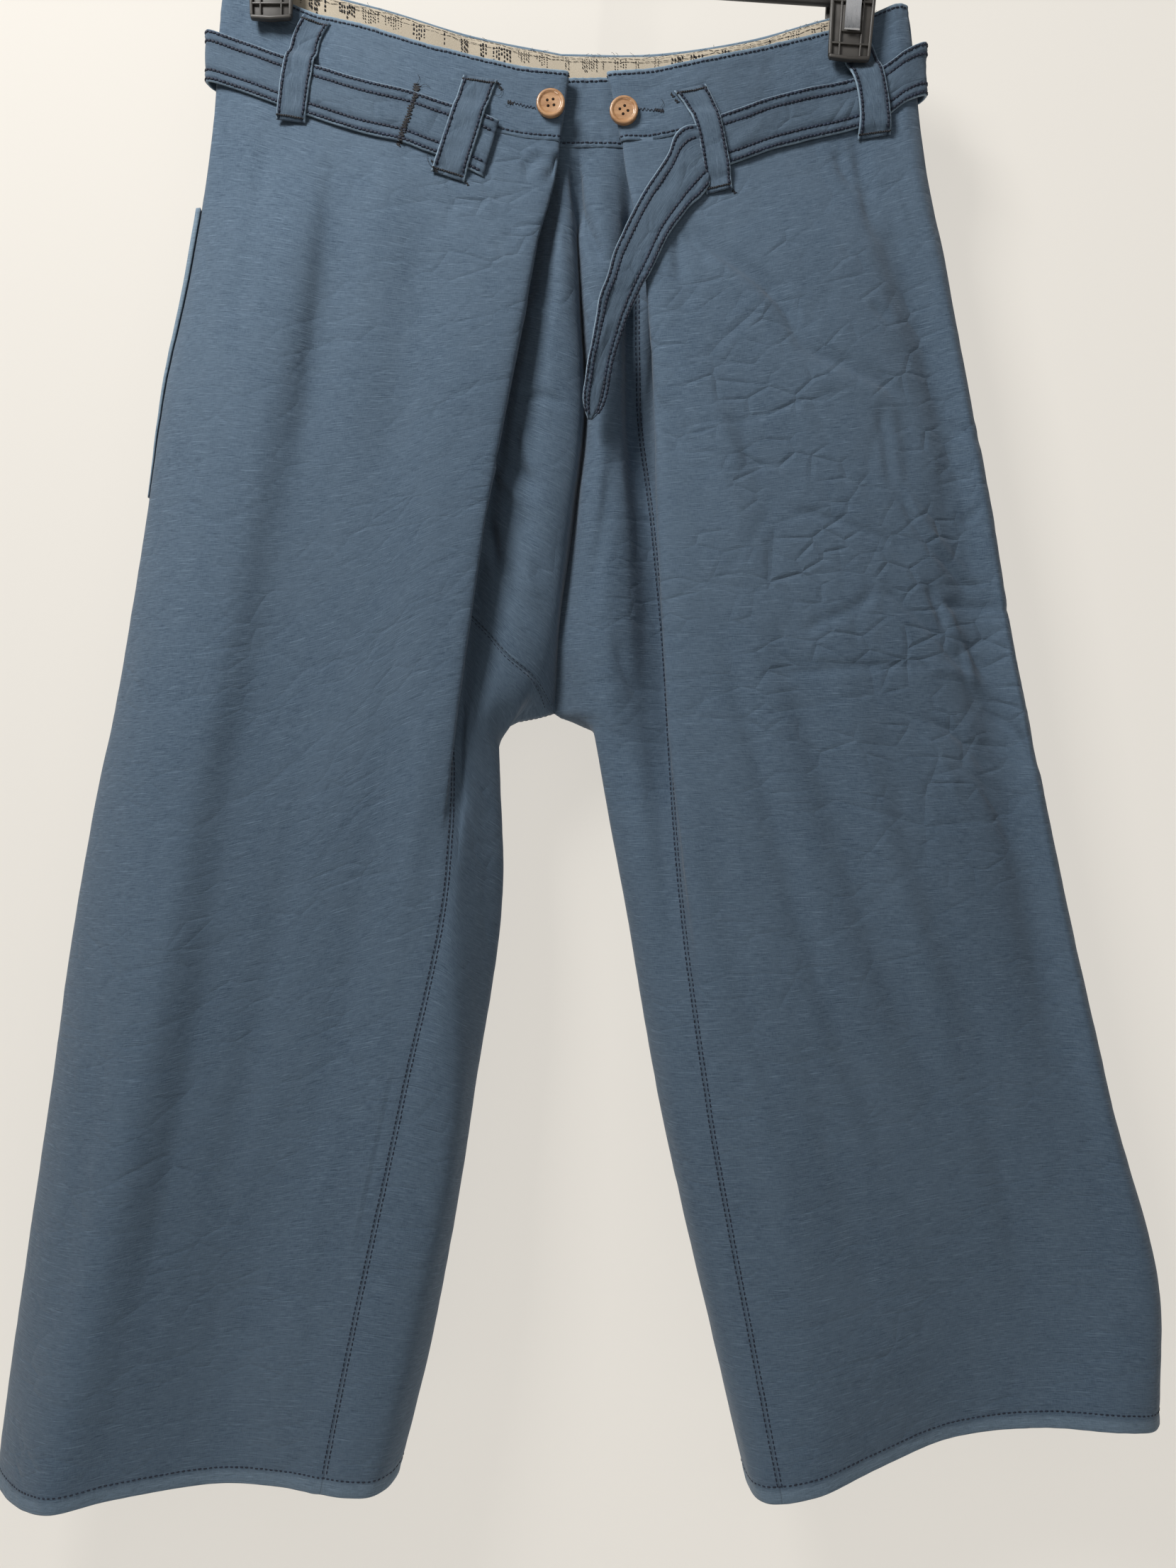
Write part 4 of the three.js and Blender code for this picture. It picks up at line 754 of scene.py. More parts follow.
def clothMaterial(name, looks):
    # woven cloth that follows the piece's own weave map and its attribute of wear and painted shade: pale wear
    # where it is above zero, painted shade in the stitch grooves where it is below
    material, tree, shader = startMaterial(name)
    place = addNode(tree, "ShaderNodeUVMap", uv_map="weave").outputs[0]
    weave = addNode(tree, "ShaderNodeGroup", {"Place": place, "Slub": looks["slub"]},
                    node_tree=weaveGroup).outputs
    colour = mixColour(tree, ramp(tree, weave["Tone"], 0.22, 0.86), looks["dark"], looks["light"])
    fade = times(tree, ramp(tree, weave["Fade"], 0.36, 0.66), 0.34)
    colour = mixColour(tree, fade, colour, looks["faded"])
    wearAndShade = addNode(tree, "ShaderNodeAttribute", attribute_name="wearAndShade").outputs["Fac"]
    # below zero the attribute is painted shade: it darkens the cloth towards the shade colour in the stitch
    # grooves
    paintedGrooveShade = times(tree, wearAndShade, -1.1, clamp=True)
    wearAndShade = times(tree, wearAndShade, 1.0, clamp=True)
    broken = times(tree, wearAndShade, calculate(tree, "MULTIPLY_ADD", weave["Tone"], 1.1, 0.35), clamp=True)
    colour = mixColour(tree, broken, colour, looks["worn"])
    colour = mixColour(tree, paintedGrooveShade, colour, looks["shade"])
    crumple = addNode(tree, "ShaderNodeAttribute", attribute_name="crumple").outputs["Fac"]
    crinkle = addNode(tree, "ShaderNodeGroup", {"Place": place, "Strength": crumple}, node_tree=crinkleGroup)
    folds = bumpFrom(tree, crinkle.outputs["Height"], 1.0, 0.0014)
    fillNode(tree, shader, {
        "Base Color": colour, "Roughness": 0.88, "Specular IOR Level": 0.25, "Sheen Weight": 0.12,
        "Sheen Roughness": 0.5, "Normal": bumpFrom(tree, weave["Height"], 0.55, 0.0004, Normal=folds),
    })
    return material


# shade is the colour of the painted shade in the stitch grooves
clothLooks = {"dark": (0.032, 0.056, 0.090), "light": (0.112, 0.164, 0.226), "faded": (0.098, 0.140, 0.190),
              "worn": (0.25, 0.34, 0.42), "shade": (0.012, 0.022, 0.040), "slub": 1.0}
# the belts, loops and tie take the pants cloth painted about a tenth darker, as painted shade for the dimmer light
# round the waist, and with fewer slubs
shadedTrimLooks = dict(clothLooks, dark=(0.029, 0.051, 0.081), light=(0.100, 0.146, 0.200), slub=0.7)
pantsCloth = clothMaterial("pants cloth", clothLooks)
shadedTrimCloth = clothMaterial("shaded belt cloth", shadedTrimLooks)

print("leg panels")


def cutGrid(half, firstRow, lastRow, firstColumn, lastColumn):
    rows, columns = slice(firstRow, lastRow + 1), slice(firstColumn, lastColumn + 1)
    return {key: half[key][rows, columns].copy() for key in ("points", "outward", "crumple")}


def clothObject(name, mesh, places, wearAndShade, crumple, material):
    # the finished mesh, with a place on the cloth at each corner, and the wear with painted shade and the crumple
    # of each point
    mesh.uv_layers.new(name="weave").data.foreach_set("uv", (places / 1000).ravel())
    for title, values in (("wearAndShade", wearAndShade), ("crumple", crumple)):
        mesh.attributes.new(title, "FLOAT", "POINT").data.foreach_set("value", values)
    mesh.shade_smooth()
    mesh.materials.append(material)
    return linkPiece(name, mesh)


def sheetObject(name, points, places, wearAndShade, material, thickness, keep=None, crumple=0.35):
    # a cloth sheet through a grid of points in millimetres, with its weave map and its wear and painted shade
    rows, columns = points.shape[:2]
    corners = np.array([
        (r * columns + c, (r + 1) * columns + c, (r + 1) * columns + c + 1, r * columns + c + 1)
        for r in range(rows - 1) for c in range(columns - 1) if keep is None or keep(r, c)
    ])
    used = np.unique(corners)
    number = np.full(rows * columns, -1)
    number[used] = np.arange(len(used))
    mesh = bpy.data.meshes.new(name)
    mesh.from_pydata((points.reshape(-1, 3)[used] / 1000).tolist(), [], number[corners].tolist())
    atCorners = used[np.array([corner.vertex_index for corner in mesh.loops])]
    wearAndShade, crumple = (np.broadcast_to(values, (rows, columns)).reshape(-1)[used] for values in (wearAndShade, crumple))
    piece = clothObject(name, mesh, places.reshape(-1, 2)[atCorners], wearAndShade, crumple, material)
    wall = piece.modifiers.new("wall", "SOLIDIFY")
    wall.thickness = thickness / 1000
    wall.offset = 0
    applyModifiers(piece)
    return piece


def applyModifiers(piece):
    selectOnly(piece)
    for name in [modifier.name for modifier in piece.modifiers]:
        bpy.ops.object.modifier_apply(modifier=name)


def placesFrom(points, startColumn=0, startAt=0.0):
    # places on the cloth in millimetres: along the rows from one column, and down the columns
    along = rowLengths(points)
    along = along - along[:, startColumn][:, None] + startAt
    falls = np.linalg.norm(np.diff(points, axis=0), axis=-1).mean(axis=1)
    down = np.concatenate([[0], np.cumsum(falls)])
    return np.stack([along, np.broadcast_to(-down[:, None], along.shape)], axis=-1)


def withHem(grid, places):
    # the hem goes round at the bottom row and up the inside
    points = grid["points"]
    last, out = points[-1], grid["outward"][-1]
    down = unitOf(last - points[-4])
    half = cloth["hemFold"] / 2
    extra = []
    for angle in (45, 90, 135, 180):
        turn = math.radians(angle)
        extra.append(last - out * half * (1 - math.cos(turn)) + down * half * math.sin(turn))
    inside = last - out * cloth["hemFold"]
    for rise in (2.5, 5, 7.5, 9.5, cloth["hemHeight"]):
        extra.append(inside - down * rise)
    wholePoints = np.concatenate([points, np.stack(extra)], axis=0)
    gaps = np.array([0.67] * 4 + [2.5, 2.5, 2.5, 2, 0.5])
    lower = places[-1][None] - np.stack([np.zeros(9), np.cumsum(gaps)], axis=-1)[:, None, :]
    return wholePoints, np.concatenate([places, lower], axis=0)


def hemRipple(half):
    # the hem twists a little between its fold and its stitches
    points = half["points"]
    along = rowLengths(points)
    rise = np.linalg.norm(points - points[-1:], axis=-1)
    wave = np.sin(2 * math.pi * (along + 0.7 * rise) / 11 + 1.6 * latticeNoise(along, rise, 30, 70))
    window = bell(rise, 5, 3.4)
    dip = -0.32 * bell(rise, 9.6, 1.6)
    edge = 0.25 * bell(rise, 0, 2.6)
    return 0.3 * wave * window + dip + edge


for half in (left, right):
    half["points"] = half["points"] + half["outward"] * hemRipple(half)[..., None]
bothOutward(left, right, splitRow)


def centreGrid():
    columns = left["column"]["seam"], right["column"]["seam"]
    joined = {key: np.concatenate([left[key][:, columns[0]:-1], right[key][:, :columns[1] + 1]], axis=1)
              for key in ("points", "outward", "crumple")}
    return joined, left["points"].shape[1] - 1 - columns[0]


def addPanel(node, grid, seamColumn, keep=None):
    # the weave is laid from the seam's column
    points, places = withHem(grid, placesFrom(grid["points"], seamColumn))
    crumple = np.pad(grid["crumple"], ((0, len(points) - len(grid["crumple"])), (0, 0)), mode="edge")
    wearAndShade = np.zeros(points.shape[:2])
    wearAndShade[-12:-5] = 0.25
    piece = sheetObject(node + "_cloth", points, places, wearAndShade, pantsCloth, cloth["thickness"], keep, crumple)
    finishPiece(piece, node)
    return piece


columnsLeft, columnsRight = left["column"], right["column"]
lastRight = right["points"].shape[1] - 1
panelCuts = {
    # the half, its first and last lines, its first row, the column that the weave is laid from, size and share
    "back_left": (left, "inner", "side", 0, 0, (0.40, 0.94), 0.80),
    "front_left": (left, "side", "seam", 0, -1, (0.38, 0.93), 0.80),
    "front_right": (right, "seam", "side", 0, 0, (0.40, 0.93), 0.80),
    "back_right": (right, "side", "inner", 0, -1, (0.40, 0.94), 0.80),
    "inner_left": (left, "seam", "centre", splitRow, 0, (0.10, 0.56), 0.80),
}
panels = {}
for name, (half, first, last, top, seamColumn, size, share) in panelCuts.items():
    grid = cutGrid(half, top, hemRow, half["column"][first], half["column"][last])
    panels[name] = addPanel(name, grid, seamColumn)
centreJoined, leftColumns = centreGrid()
panels["centre_front"] = addPanel("centre_front", centreJoined, -1,
                                  lambda r, c: c >= leftColumns or r < splitRow)

print("waistband and facing")

band = {"half": 0.85, "wall": 0.6, "overlap": 1.6, "topStitch": 2.4, "lowStitch": 1.4}
facing = {"inset": 9, "wall": 0.8, "behind": 1.75, "drop": 1.9}


def bandFoot(half, firstColumn, lastColumn):
    columns = slice(firstColumn, lastColumn + 1)
    out = half["outward"][0, columns].copy()
    out[:, 2] = 0
    return {"feet": half["points"][0, columns], "out": unitOf(out), "lean": half["lean"][columns]}


def joinFeet(first, second):
    return {key: np.concatenate([first[key][:-1], second[key]]) for key in first}


def bandPoint(foot, height, off=0.0):
    leanX, leanY = foot["lean"].T * height / cloth["bandHeight"]
    rise = np.stack([leanX, leanY, np.full(len(leanX), height + 0.15)], axis=-1)
    return foot["feet"] + rise + foot["out"] * off


def bandProfile():
    # heights and offsets up the inside, over the top and down the outside
    half, top = band["half"], cloth["bandHeight"] - band["half"]
    profile = [(height, -half) for height in np.linspace(0, top, 9)]
    profile += [(top + half * math.sin(a), -half * math.cos(a)) for a in np.radians([30, 60, 90, 120, 150])]
    profile += [(height, half) for height in np.linspace(top, -band["overlap"], 24)]
    return profile


def bandRelief(along, height, seed):
    # soft wrinkles, with the cloth drawn in at both rows of stitches
    top = cloth["bandHeight"] - band["topStitch"]
    slanted = along + 0.5 * height
    wrinkle = (0.75 * latticeNoise(slanted, height * 0.5, 14, seed)
               + 0.3 * latticeNoise(slanted, height, 6, seed + 3))
    pucker = 0.25 * np.sin(along * 1.15 + 2.2 * latticeNoise(along, height, 12, seed + 6))
    drawn, near = (bell(height, top, width) + bell(height, band["lowStitch"], width) for width in (0.9, 4))
    return wrinkle - 0.4 * drawn + pucker * near


def layFlat(along, across):
    # the place on the cloth of every point of a grid
    return np.stack(np.broadcast_arrays(along, np.asarray(across)[:, None]), axis=-1)


def addBand(node, foot, seed):
    profile = bandProfile()
    along = lengthsAlong(bandPoint(foot, 0.0))
    rows = []
    for height, off in profile:
        relief = bandRelief(along, np.full_like(along, height), seed) if off > 0 else np.zeros_like(along)
        rows.append(bandPoint(foot, height) + foot["out"] * (off + relief[:, None]))
    points = np.stack(rows)
    places = layFlat(along, -lengthsAlong(np.array(profile))) + seed * 7
    heights = np.array(profile)[:, :1]
    wearAndShade = 0.75 * bell(heights, cloth["bandHeight"], 0.9) + 0.12 * (heights < -0.6)
    piece = sheetObject(node + "_cloth", points, places, wearAndShade, pantsCloth, band["wall"])
    finishPiece(piece, node)
    return piece


bandFeet = {
    "left": bandFoot(left, columnsLeft["side"], columnsLeft["seam"]),
    "right": bandFoot(right, columnsRight["seam"], columnsRight["side"]),
    "centre": joinFeet(bandFoot(left, columnsLeft["deep"], columnsLeft["centre"]),
                       bandFoot(right, 0, columnsRight["deep"])),
    "back": joinFeet(bandFoot(right, columnsRight["side"], lastRight), bandFoot(left, 0, columnsLeft["side"])),
}
bands = {}
for k, (name, foot) in enumerate(bandFeet.items()):
    bands[name] = addBand("waistband_" + name, foot, 101 + 3 * k)


def facingMaterial():
    material, tree, shader = startMaterial("facing cotton")
    place = addNode(tree, "ShaderNodeUVMap", uv_map="weave").outputs[0]
    weft = stretchedNoise(tree, place, (900, 2600, 1), 2.0)
    warp = stretchedNoise(tree, place, (2600, 900, 1), 2.0, (4, 1, 0))
    soft = stretchedNoise(tree, place, (40, 60, 1), 3.0, (2, 2, 0))
    thread = times(tree, calculate(tree, "ADD", weft, warp), 0.5)
    colour = mixColour(tree, ramp(tree, thread, 0.3, 0.7), (0.36, 0.31, 0.235), (0.52, 0.46, 0.365))
    colour = mixColour(tree, times(tree, ramp(tree, soft, 0.4, 0.7), 0.3), colour, (0.34, 0.29, 0.22))
    fillNode(tree, shader, {"Base Color": colour, "Roughness": 0.85, "Sheen Weight": 0.1,
                            "Normal": bumpFrom(tree, thread, 0.4, 0.0003)})
    return material


def innerFoot():
    # the back band's feet without its ends, where the facing lies
    foot = bandFeet["back"]
    inner = slice(facing["inset"], len(foot["feet"]) - facing["inset"])
    return {key: value[inner] for key, value in foot.items()}


def addFacing():
    foot = innerFoot()
    along = lengthsAlong(bandPoint(foot, 0.0))
    heights = np.linspace(-2, cloth["bandHeight"] - facing["drop"], 22)
    rows = []
    for height in heights:
        ease = 0.45 * latticeNoise(along, np.full_like(along, height * 0.5), 18, 301)
        tuck = 0.5 * bell(height, heights[-1], 1.2)
        rows.append(bandPoint(foot, height) - foot["out"] * (facing["behind"] + ease - tuck)[:, None])
    piece = sheetObject("facing_back_cloth", np.stack(rows), layFlat(along, heights), 0.0, facingMaterial(),
                        facing["wall"])
    finishPiece(piece, "facing_back")


addFacing()

print("stitches")


def threadMaterial(name, colour, pale):
    material, tree, shader = startMaterial(name)
    place = addNode(tree, "ShaderNodeTexCoord").outputs["Object"]
    twist = stretchedNoise(tree, place, (2400, 2400, 2400), 1.0)
    worn = stretchedNoise(tree, place, (160, 160, 160), 2.0, (3, 3, 3))
    mixed = mixColour(tree, ramp(tree, worn, 0.5, 0.8), colour, pale)
    mixed = mixColour(tree, times(tree, twist, 0.3), mixed, (0.0, 0.0, 0.0))
    fillNode(tree, shader, {"Base Color": mixed, "Roughness": 0.7})
    return material


navyThread = threadMaterial("navy thread", (0.006, 0.012, 0.030), (0.016, 0.032, 0.072))
blackThread = threadMaterial("black thread", (0.006, 0.006, 0.009), (0.02, 0.022, 0.03))


def capsule():
    # one stitch lying along X, one long and one wide
    ring = [(0.5 * math.cos(math.radians(72 * k)), 0.5 * math.sin(math.radians(72 * k))) for k in range(5)]
    points = [(-0.5, 0, 0), *((x, y, z) for x in (-0.29, 0.29) for y, z in ring), (0.5, 0, 0)]
    faces = []
    for k in range(5):
        nextK = (k + 1) % 5
        faces += [(0, 1 + nextK, 1 + k), (1 + k, 1 + nextK, 6 + nextK, 6 + k), (6 + k, 6 + nextK, 11)]
    return np.array(points, float), faces


stitchPoints, stitchFaces = capsule()
stitchSets = {}


def addDash(group, start, end, out, width, flat=0.6):
    # one thread from start to end, pressed against the cloth
    length = np.linalg.norm(end - start)
    axis = (end - start) / length
    up = unitOf(out - axis * np.dot(out, axis))
    side = np.cross(up, axis)
    body = stitchPoints * np.array([length, width, width * flat])
    place = (start + end) / 2 + body[:, :1] * axis + body[:, 1:2] * side + body[:, 2:3] * up
    stitchSets.setdefault(group, []).append(place)


def resample(points, outs, pitch, phase=0.0):
    # places and directions at even steps along a line of points
    along = lengthsAlong(points)
    at = np.arange(phase, along[-1], pitch)
    return evenly(points, at, along), evenly(outs, at, along)


def stitchLine(group, points, outs, rise, slant=0.0, pitch=3.3, length=2.35, width=0.62, seed=1, skip=0.0):
    # a row of stitches along a line on the cloth, a little uneven as sewn
    rng = random.Random(seed)
    fine, fineOut = resample(points, outs, pitch / 2)
    for k in range(1, len(fine) - 1, 2):
        if rng.random() < skip:
            continue
        axis = fine[k + 1] - fine[k - 1]
        axis = axis / max(np.linalg.norm(axis), 1e-9)
        out = fineOut[k] / np.linalg.norm(fineOut[k])
        side = np.cross(out, axis)
        reach = length / 2 * rng.uniform(0.86, 1.08)
        lean = side * (slant * reach + rng.uniform(-0.12, 0.12))
        middle = fine[k] + out * rise + side * rng.uniform(-0.1, 0.1)
        addDash(group, middle - axis * reach - lean, middle + axis * reach + lean, out,
                width * rng.uniform(0.88, 1.1))


def joinStitches(name, group, material):
    # all the stitches of one group as one piece
    count = len(stitchPoints)
    sets = stitchSets.pop(group)
    places = np.concatenate(sets) / 1000
    faces = [tuple(k * count + i for i in face) for k in range(len(sets)) for face in stitchFaces]
    mesh = bpy.data.meshes.new(name)
    mesh.from_pydata(places.tolist(), [], faces)
    mesh.shade_smooth()
    mesh.materials.append(material)
    finishPiece(linkPiece(name, mesh))


def besideColumn(half, column, distance, firstRow, lastRow):
    # points on the cloth at a distance along the rows from one column
    points = half["points"][firstRow:lastRow + 1]
    outs = half["outward"][firstRow:lastRow + 1]
    line, lineOut = [], []
    for r, along in enumerate(rowLengths(points)):
        at = along[column] + distance
        line.append(evenly(points[r], at, along))
        lineOut.append(evenly(outs[r], at, along))
    return np.array(line), np.array(lineOut)


def aboveHem(half, distance):
    # points on the cloth at a distance up the columns from the lowest row
    line, lineOut = [], []
    for c in range(half["points"].shape[1]):
        points, outs = half["points"][::-1, c][:12], half["outward"][::-1, c][:12]
        along = lengthsAlong(points)
        line.append(evenly(points, distance, along))
        lineOut.append(evenly(outs, distance, along))
    return np.array(line), np.array(lineOut)


def stitchPanels():
    rise = cloth["thickness"] / 2 + 0.08
    for half, seed in ((left, 5), (right, 6)):
        stitchLine("panels", *aboveHem(half, 9.6), rise, seed=seed, width=1.0, slant=0.06)
    for half, seed in ((left, 21), (right, 22)):
        for n, offset in enumerate((-1.35, 1.35)):
            line, outs = besideColumn(half, half["column"]["seam"], offset, 2, hemRow - 3)
            stitchLine("panels", line, outs, rise, seed=seed + 7 * n, width=0.95, length=2.7)
    for half, side in ((left, 1), (right, -1)):
        column = half["column"]["inner"]
        for n, offset in enumerate((0.9, 3.4)):
            line, outs = besideColumn(half, column, side * offset, 2, hemRow - 3)
            stitchLine("panels", line, outs, rise, seed=41 + n, width=0.9)
    seamStart, seamEnd = columnsLeft["seam"] + 1, left["points"].shape[1] - 2
    for n, rowsUp in enumerate((-1, 1)):
        rows = left["points"][splitRow], left["points"][splitRow + rowsUp]
        line = rows[0][seamStart:seamEnd] * 0.55 + rows[1][seamStart:seamEnd] * 0.45
        stitchLine("panels", line, left["outward"][splitRow][seamStart:seamEnd], rise, seed=61 + n, width=0.5)


def stitchBands():
    top = cloth["bandHeight"] - band["topStitch"]
    for k, foot in enumerate(bandFeet.values()):
        along = lengthsAlong(bandPoint(foot, 0.0))
        for n, height in enumerate((top, band["lowStitch"])):
            relief = bandRelief(along, np.full_like(along, height), 101 + 3 * k)
            off = band["half"] + band["wall"] / 2 + relief + 0.05
            line = bandPoint(foot, height) + foot["out"] * off[:, None]
            stitchLine("bands", line[1:-1], foot["out"][1:-1], 0.4, seed=81 + 2 * k + n, width=1.15, slant=0.05,
                       length=2.8, pitch=3.0)


stitchPanels()
stitchBands()

print("belt and loops")

# Stations of the belt: across and up at its upper edge, the same at its lower edge, and the side it lies on
# or its depth.
beltStations = {
    "belt_left": [
        (-38.5, -231.4, -48.7, -267.0, "front"), (-46.5, -227.6, -56.0, -263.0, "front"),
        (-60, -223, -69, -256.5, "front"), (-78, -217, -84, -250.5, "front"), (-93, -211.5, -98, -244.5, "front"),
        (-122, -203, -124, -237, "front"), (-154, -191, -155, -225, "front"), (-182, -181, -182, -214, "front"),
        (-208, -170, -208, -203, "front"), (-228.5, -162, -228.5, -196, -3.0), (-228, -162, -228, -196, 5.0),
        (-206, -172, -206, -206, "back"), (-160, -184, -160, -218, "back"), (-118, -192, -118, -226, "back"),
    ],
    "belt_back": [
        (-117.4, -192, -117.4, -226, "back"), (-60, -200, -60, -234, "back"), (0, -204, 0, -238, "back"),
        (60, -203, 60, -237, "back"), (117.4, -198, 117.4, -232, "back"),
    ],
    "belt_right": [
        (90, -231, 90, -265, "front"), (114, -222, 114, -256, "front"), (132, -214, 132, -248, "front"),
        (156, -206, 156, -240, "front"), (186, -198, 186, -231, "front"), (208, -188, 208, -222, "front"),
        (223, -177, 223, -211, "front"), (235.5, -170, 235.5, -205, -3.0), (235, -170, 235, -205, 5.0),
        (216, -180, 216, -214, "back"), (190, -197, 190, -231, "back"), (160, -198, 160, -232, "back"),
        (118, -198, 118, -232, "back"),
    ],
}
# The hanging end: the pixels of its left and right edges in the photo, with the depths of both.
tieStations = [
    ((986, 175), (1002, 258), -25.4, -25.0), ((967, 177), (997, 268), -25.8, -25.8),
    ((952, 190), (988, 279), -26.2, -26.6), ((943, 214), (975, 290), -26.8, -27.2),
    ((927, 240), (965, 302), -27.6, -28.0), ((911, 264), (951, 320), -28.6, -28.8),
    ((896, 291), (939, 339), -29.6, -29.6), ((880, 323), (928, 363), -30.4, -30.2),
    ((866, 354), (918, 384), -31.0, -30.2), ((857, 387), (907, 402), -32.4, -29.2),
    ((845, 418), (896, 425), -31.8, -28.0), ((840, 450), (883, 455), -31.0, -26.6),
    ((835, 478), (873, 484), -30.4, -25.6), ((829, 506), (866, 508), -29.8, -25.0),
    ((825, 536), (861, 532), -29.2, -24.6), ((822, 561), (856, 560), -28.6, -24.4),
    ((824, 577), (848, 579), -28.0, -25.4), ((829, 592), (836, 592), -27.2, -26.4),
]
strap = {
    "belt": {"width": 33, "thickness": 2.2, "stitches": [1.9, 7.4],
             "rows": [0, 0.25, 0.7, 1.2, 1.9, 2.7, 4.4, 6.3, 7.4, 8.5, 11.5, 14.5]},
    "loop": {"width": 20, "thickness": 1.6, "stitches": [2.0], "rows": [0, 0.25, 0.7, 1.2, 2.0, 3.0, 5.0, 7.5]},
    "spacing": 1.7,
    "lift": 0.35,
}
# The loops: the pixels of the left and right edges of those in front; the ends across and up of those behind.
loopStations = {
    "loop_1": ([(427, 18), (414, 40), (405, 72), (398, 112), (393, 148), (390, 170)],
               [(465, 30), (452, 52), (446, 80), (440, 120), (434, 158), (431, 175)]),
    "loop_2": ([(653, 104), (642, 140), (629, 180), (617, 216), (608, 241)],
               [(701, 111), (688, 148), (676, 188), (664, 226), (655, 257)]),
    "loop_3": ([(951, 127), (967, 148), (981, 180), (989, 220), (996, 276)],
               [(996, 117), (1010, 144), (1020, 180), (1028, 222), (1033, 266)]),
    "loop_4": ([(1181, 52), (1196, 92), (1207, 122), (1212, 160), (1211, 196)],
               [(1224, 40), (1242, 84), (1250, 116), (1256, 160), (1257, 188)]),
    "loop_5": ((-118, -155), (-118, -228)),
    "loop_6": ((0, -176), (0, -250)),
    "loop_7": ((118, -172), (118, -242)),
}


def castTree(pieces):
    points, faces, start = [], [], 0
    for piece in pieces:
        mesh = piece.data
        places = np.empty(len(mesh.vertices) * 3)
        mesh.vertices.foreach_get("co", places)
        points.append(places.reshape(-1, 3) * 1000)
        faces += [tuple(start + i for i in face.vertices) for face in mesh.polygons]
        start += len(mesh.vertices)
    return BVHTree.FromPolygons(np.concatenate(points).tolist(), faces)


def faceDepth(tree, x, z, side):
    # the depth of the cloth's face at a place, looked at from the front or the back
    sign = -1 if side == "front" else 1
    for nudge in (0, 1.2, -1.2):
        hit = tree.ray_cast(Vector((x + nudge, sign * 300, z)), Vector((0, -sign, 0)))[0]
        if hit is not None:
            return hit.y
    return None

def smoothRun(values, reach):
    # a running average over reach places on both sides
    kernel = np.hanning(2 * reach + 3)[1:-1]
    padded = np.pad(values, reach, mode="edge")
    return np.convolve(padded, kernel / kernel.sum(), mode="valid")


def runMax(values, reach):
    padded = np.pad(values, reach, mode="edge")
    return np.max([padded[k:k + len(values)] for k in range(2 * reach + 1)], axis=0)


def facesAcross(tree, start, end, shares, side):
    # the depths of the cloth's face at shares of the way from start to end, each across and up; nearest is largest
    sign = -1 if side == "front" else 1
    found = [faceDepth(tree, *(start + (end - start) * share), side) for share in shares]
    return [sign * depth for depth in found if depth is not None]


def beltPath(stations, tree):
    # both edges of a belt run at even steps, laid on the cloth
    keys = np.array([(ux, 0, uz, lx, 0, lz) for ux, uz, lx, lz, side in stations], float)
    sides = [station[4] for station in stations]
    thick = strap["belt"]["thickness"] / 2 + strap["lift"]
    for key, side in zip(keys, sides):
        depth = side
        if isinstance(side, str):
            nearest = max(facesAcross(tree, key[[0, 2]], key[[3, 5]], (0.1, 0.3, 0.5, 0.7, 0.9), side))
            depth = (-1 if side == "front" else 1) * (nearest + thick)
        key[1] = key[4] = depth
    dense = throughKeys(keys, [14] * (len(keys) - 1))
    along = lengthsAlong(dense[:, :3])
    at = np.linspace(0, along[-1], int(along[-1] / strap["spacing"]) + 1)
    path = evenly(dense, at, along)
    need = path[:, 1].copy()
    signs = np.zeros(len(path))
    for k, place in enumerate(path):
        i = min(np.searchsorted(along[::14], at[k], side="right") - 1, len(sides) - 2)
        if isinstance(sides[i], str) and sides[i] == sides[i + 1]:
            signs[k] = -1 if sides[i] == "front" else 1
            found = facesAcross(tree, place[[0, 2]], place[[3, 5]], (0.08, 0.3, 0.5, 0.7, 0.92), sides[i])
            if found:
                need[k] = signs[k] * (max(found) + thick)
    for sign in (-1, 1):
        run = np.where(signs == sign)[0]
        if len(run):
            proud = smoothRun(runMax(sign * need[run], 3), 4)
            step = np.arange(len(run))
            fade = np.clip((step + 1) / 8, 0, 1) if signs[0] != sign else np.ones(len(run))
            fade = np.minimum(fade, np.clip((len(run) - step) / 8, 0, 1) if signs[-1] != sign else 1)
            need[run] = path[run, 1] * (1 - fade) + sign * proud * fade
    path[:, 1] = path[:, 4] = need
    return path[:, :3], path[:, 3:], at


def outOfPath(upper, lower, at, side):
    # the outward direction of a strap at each place along it, which looks to its side at the place numbered at
    out = unitOf(np.cross(lower - upper, np.gradient((upper + lower) / 2, axis=0)))
    return out * np.sign(out[at, 1] * (-1 if side == "front" else 1))


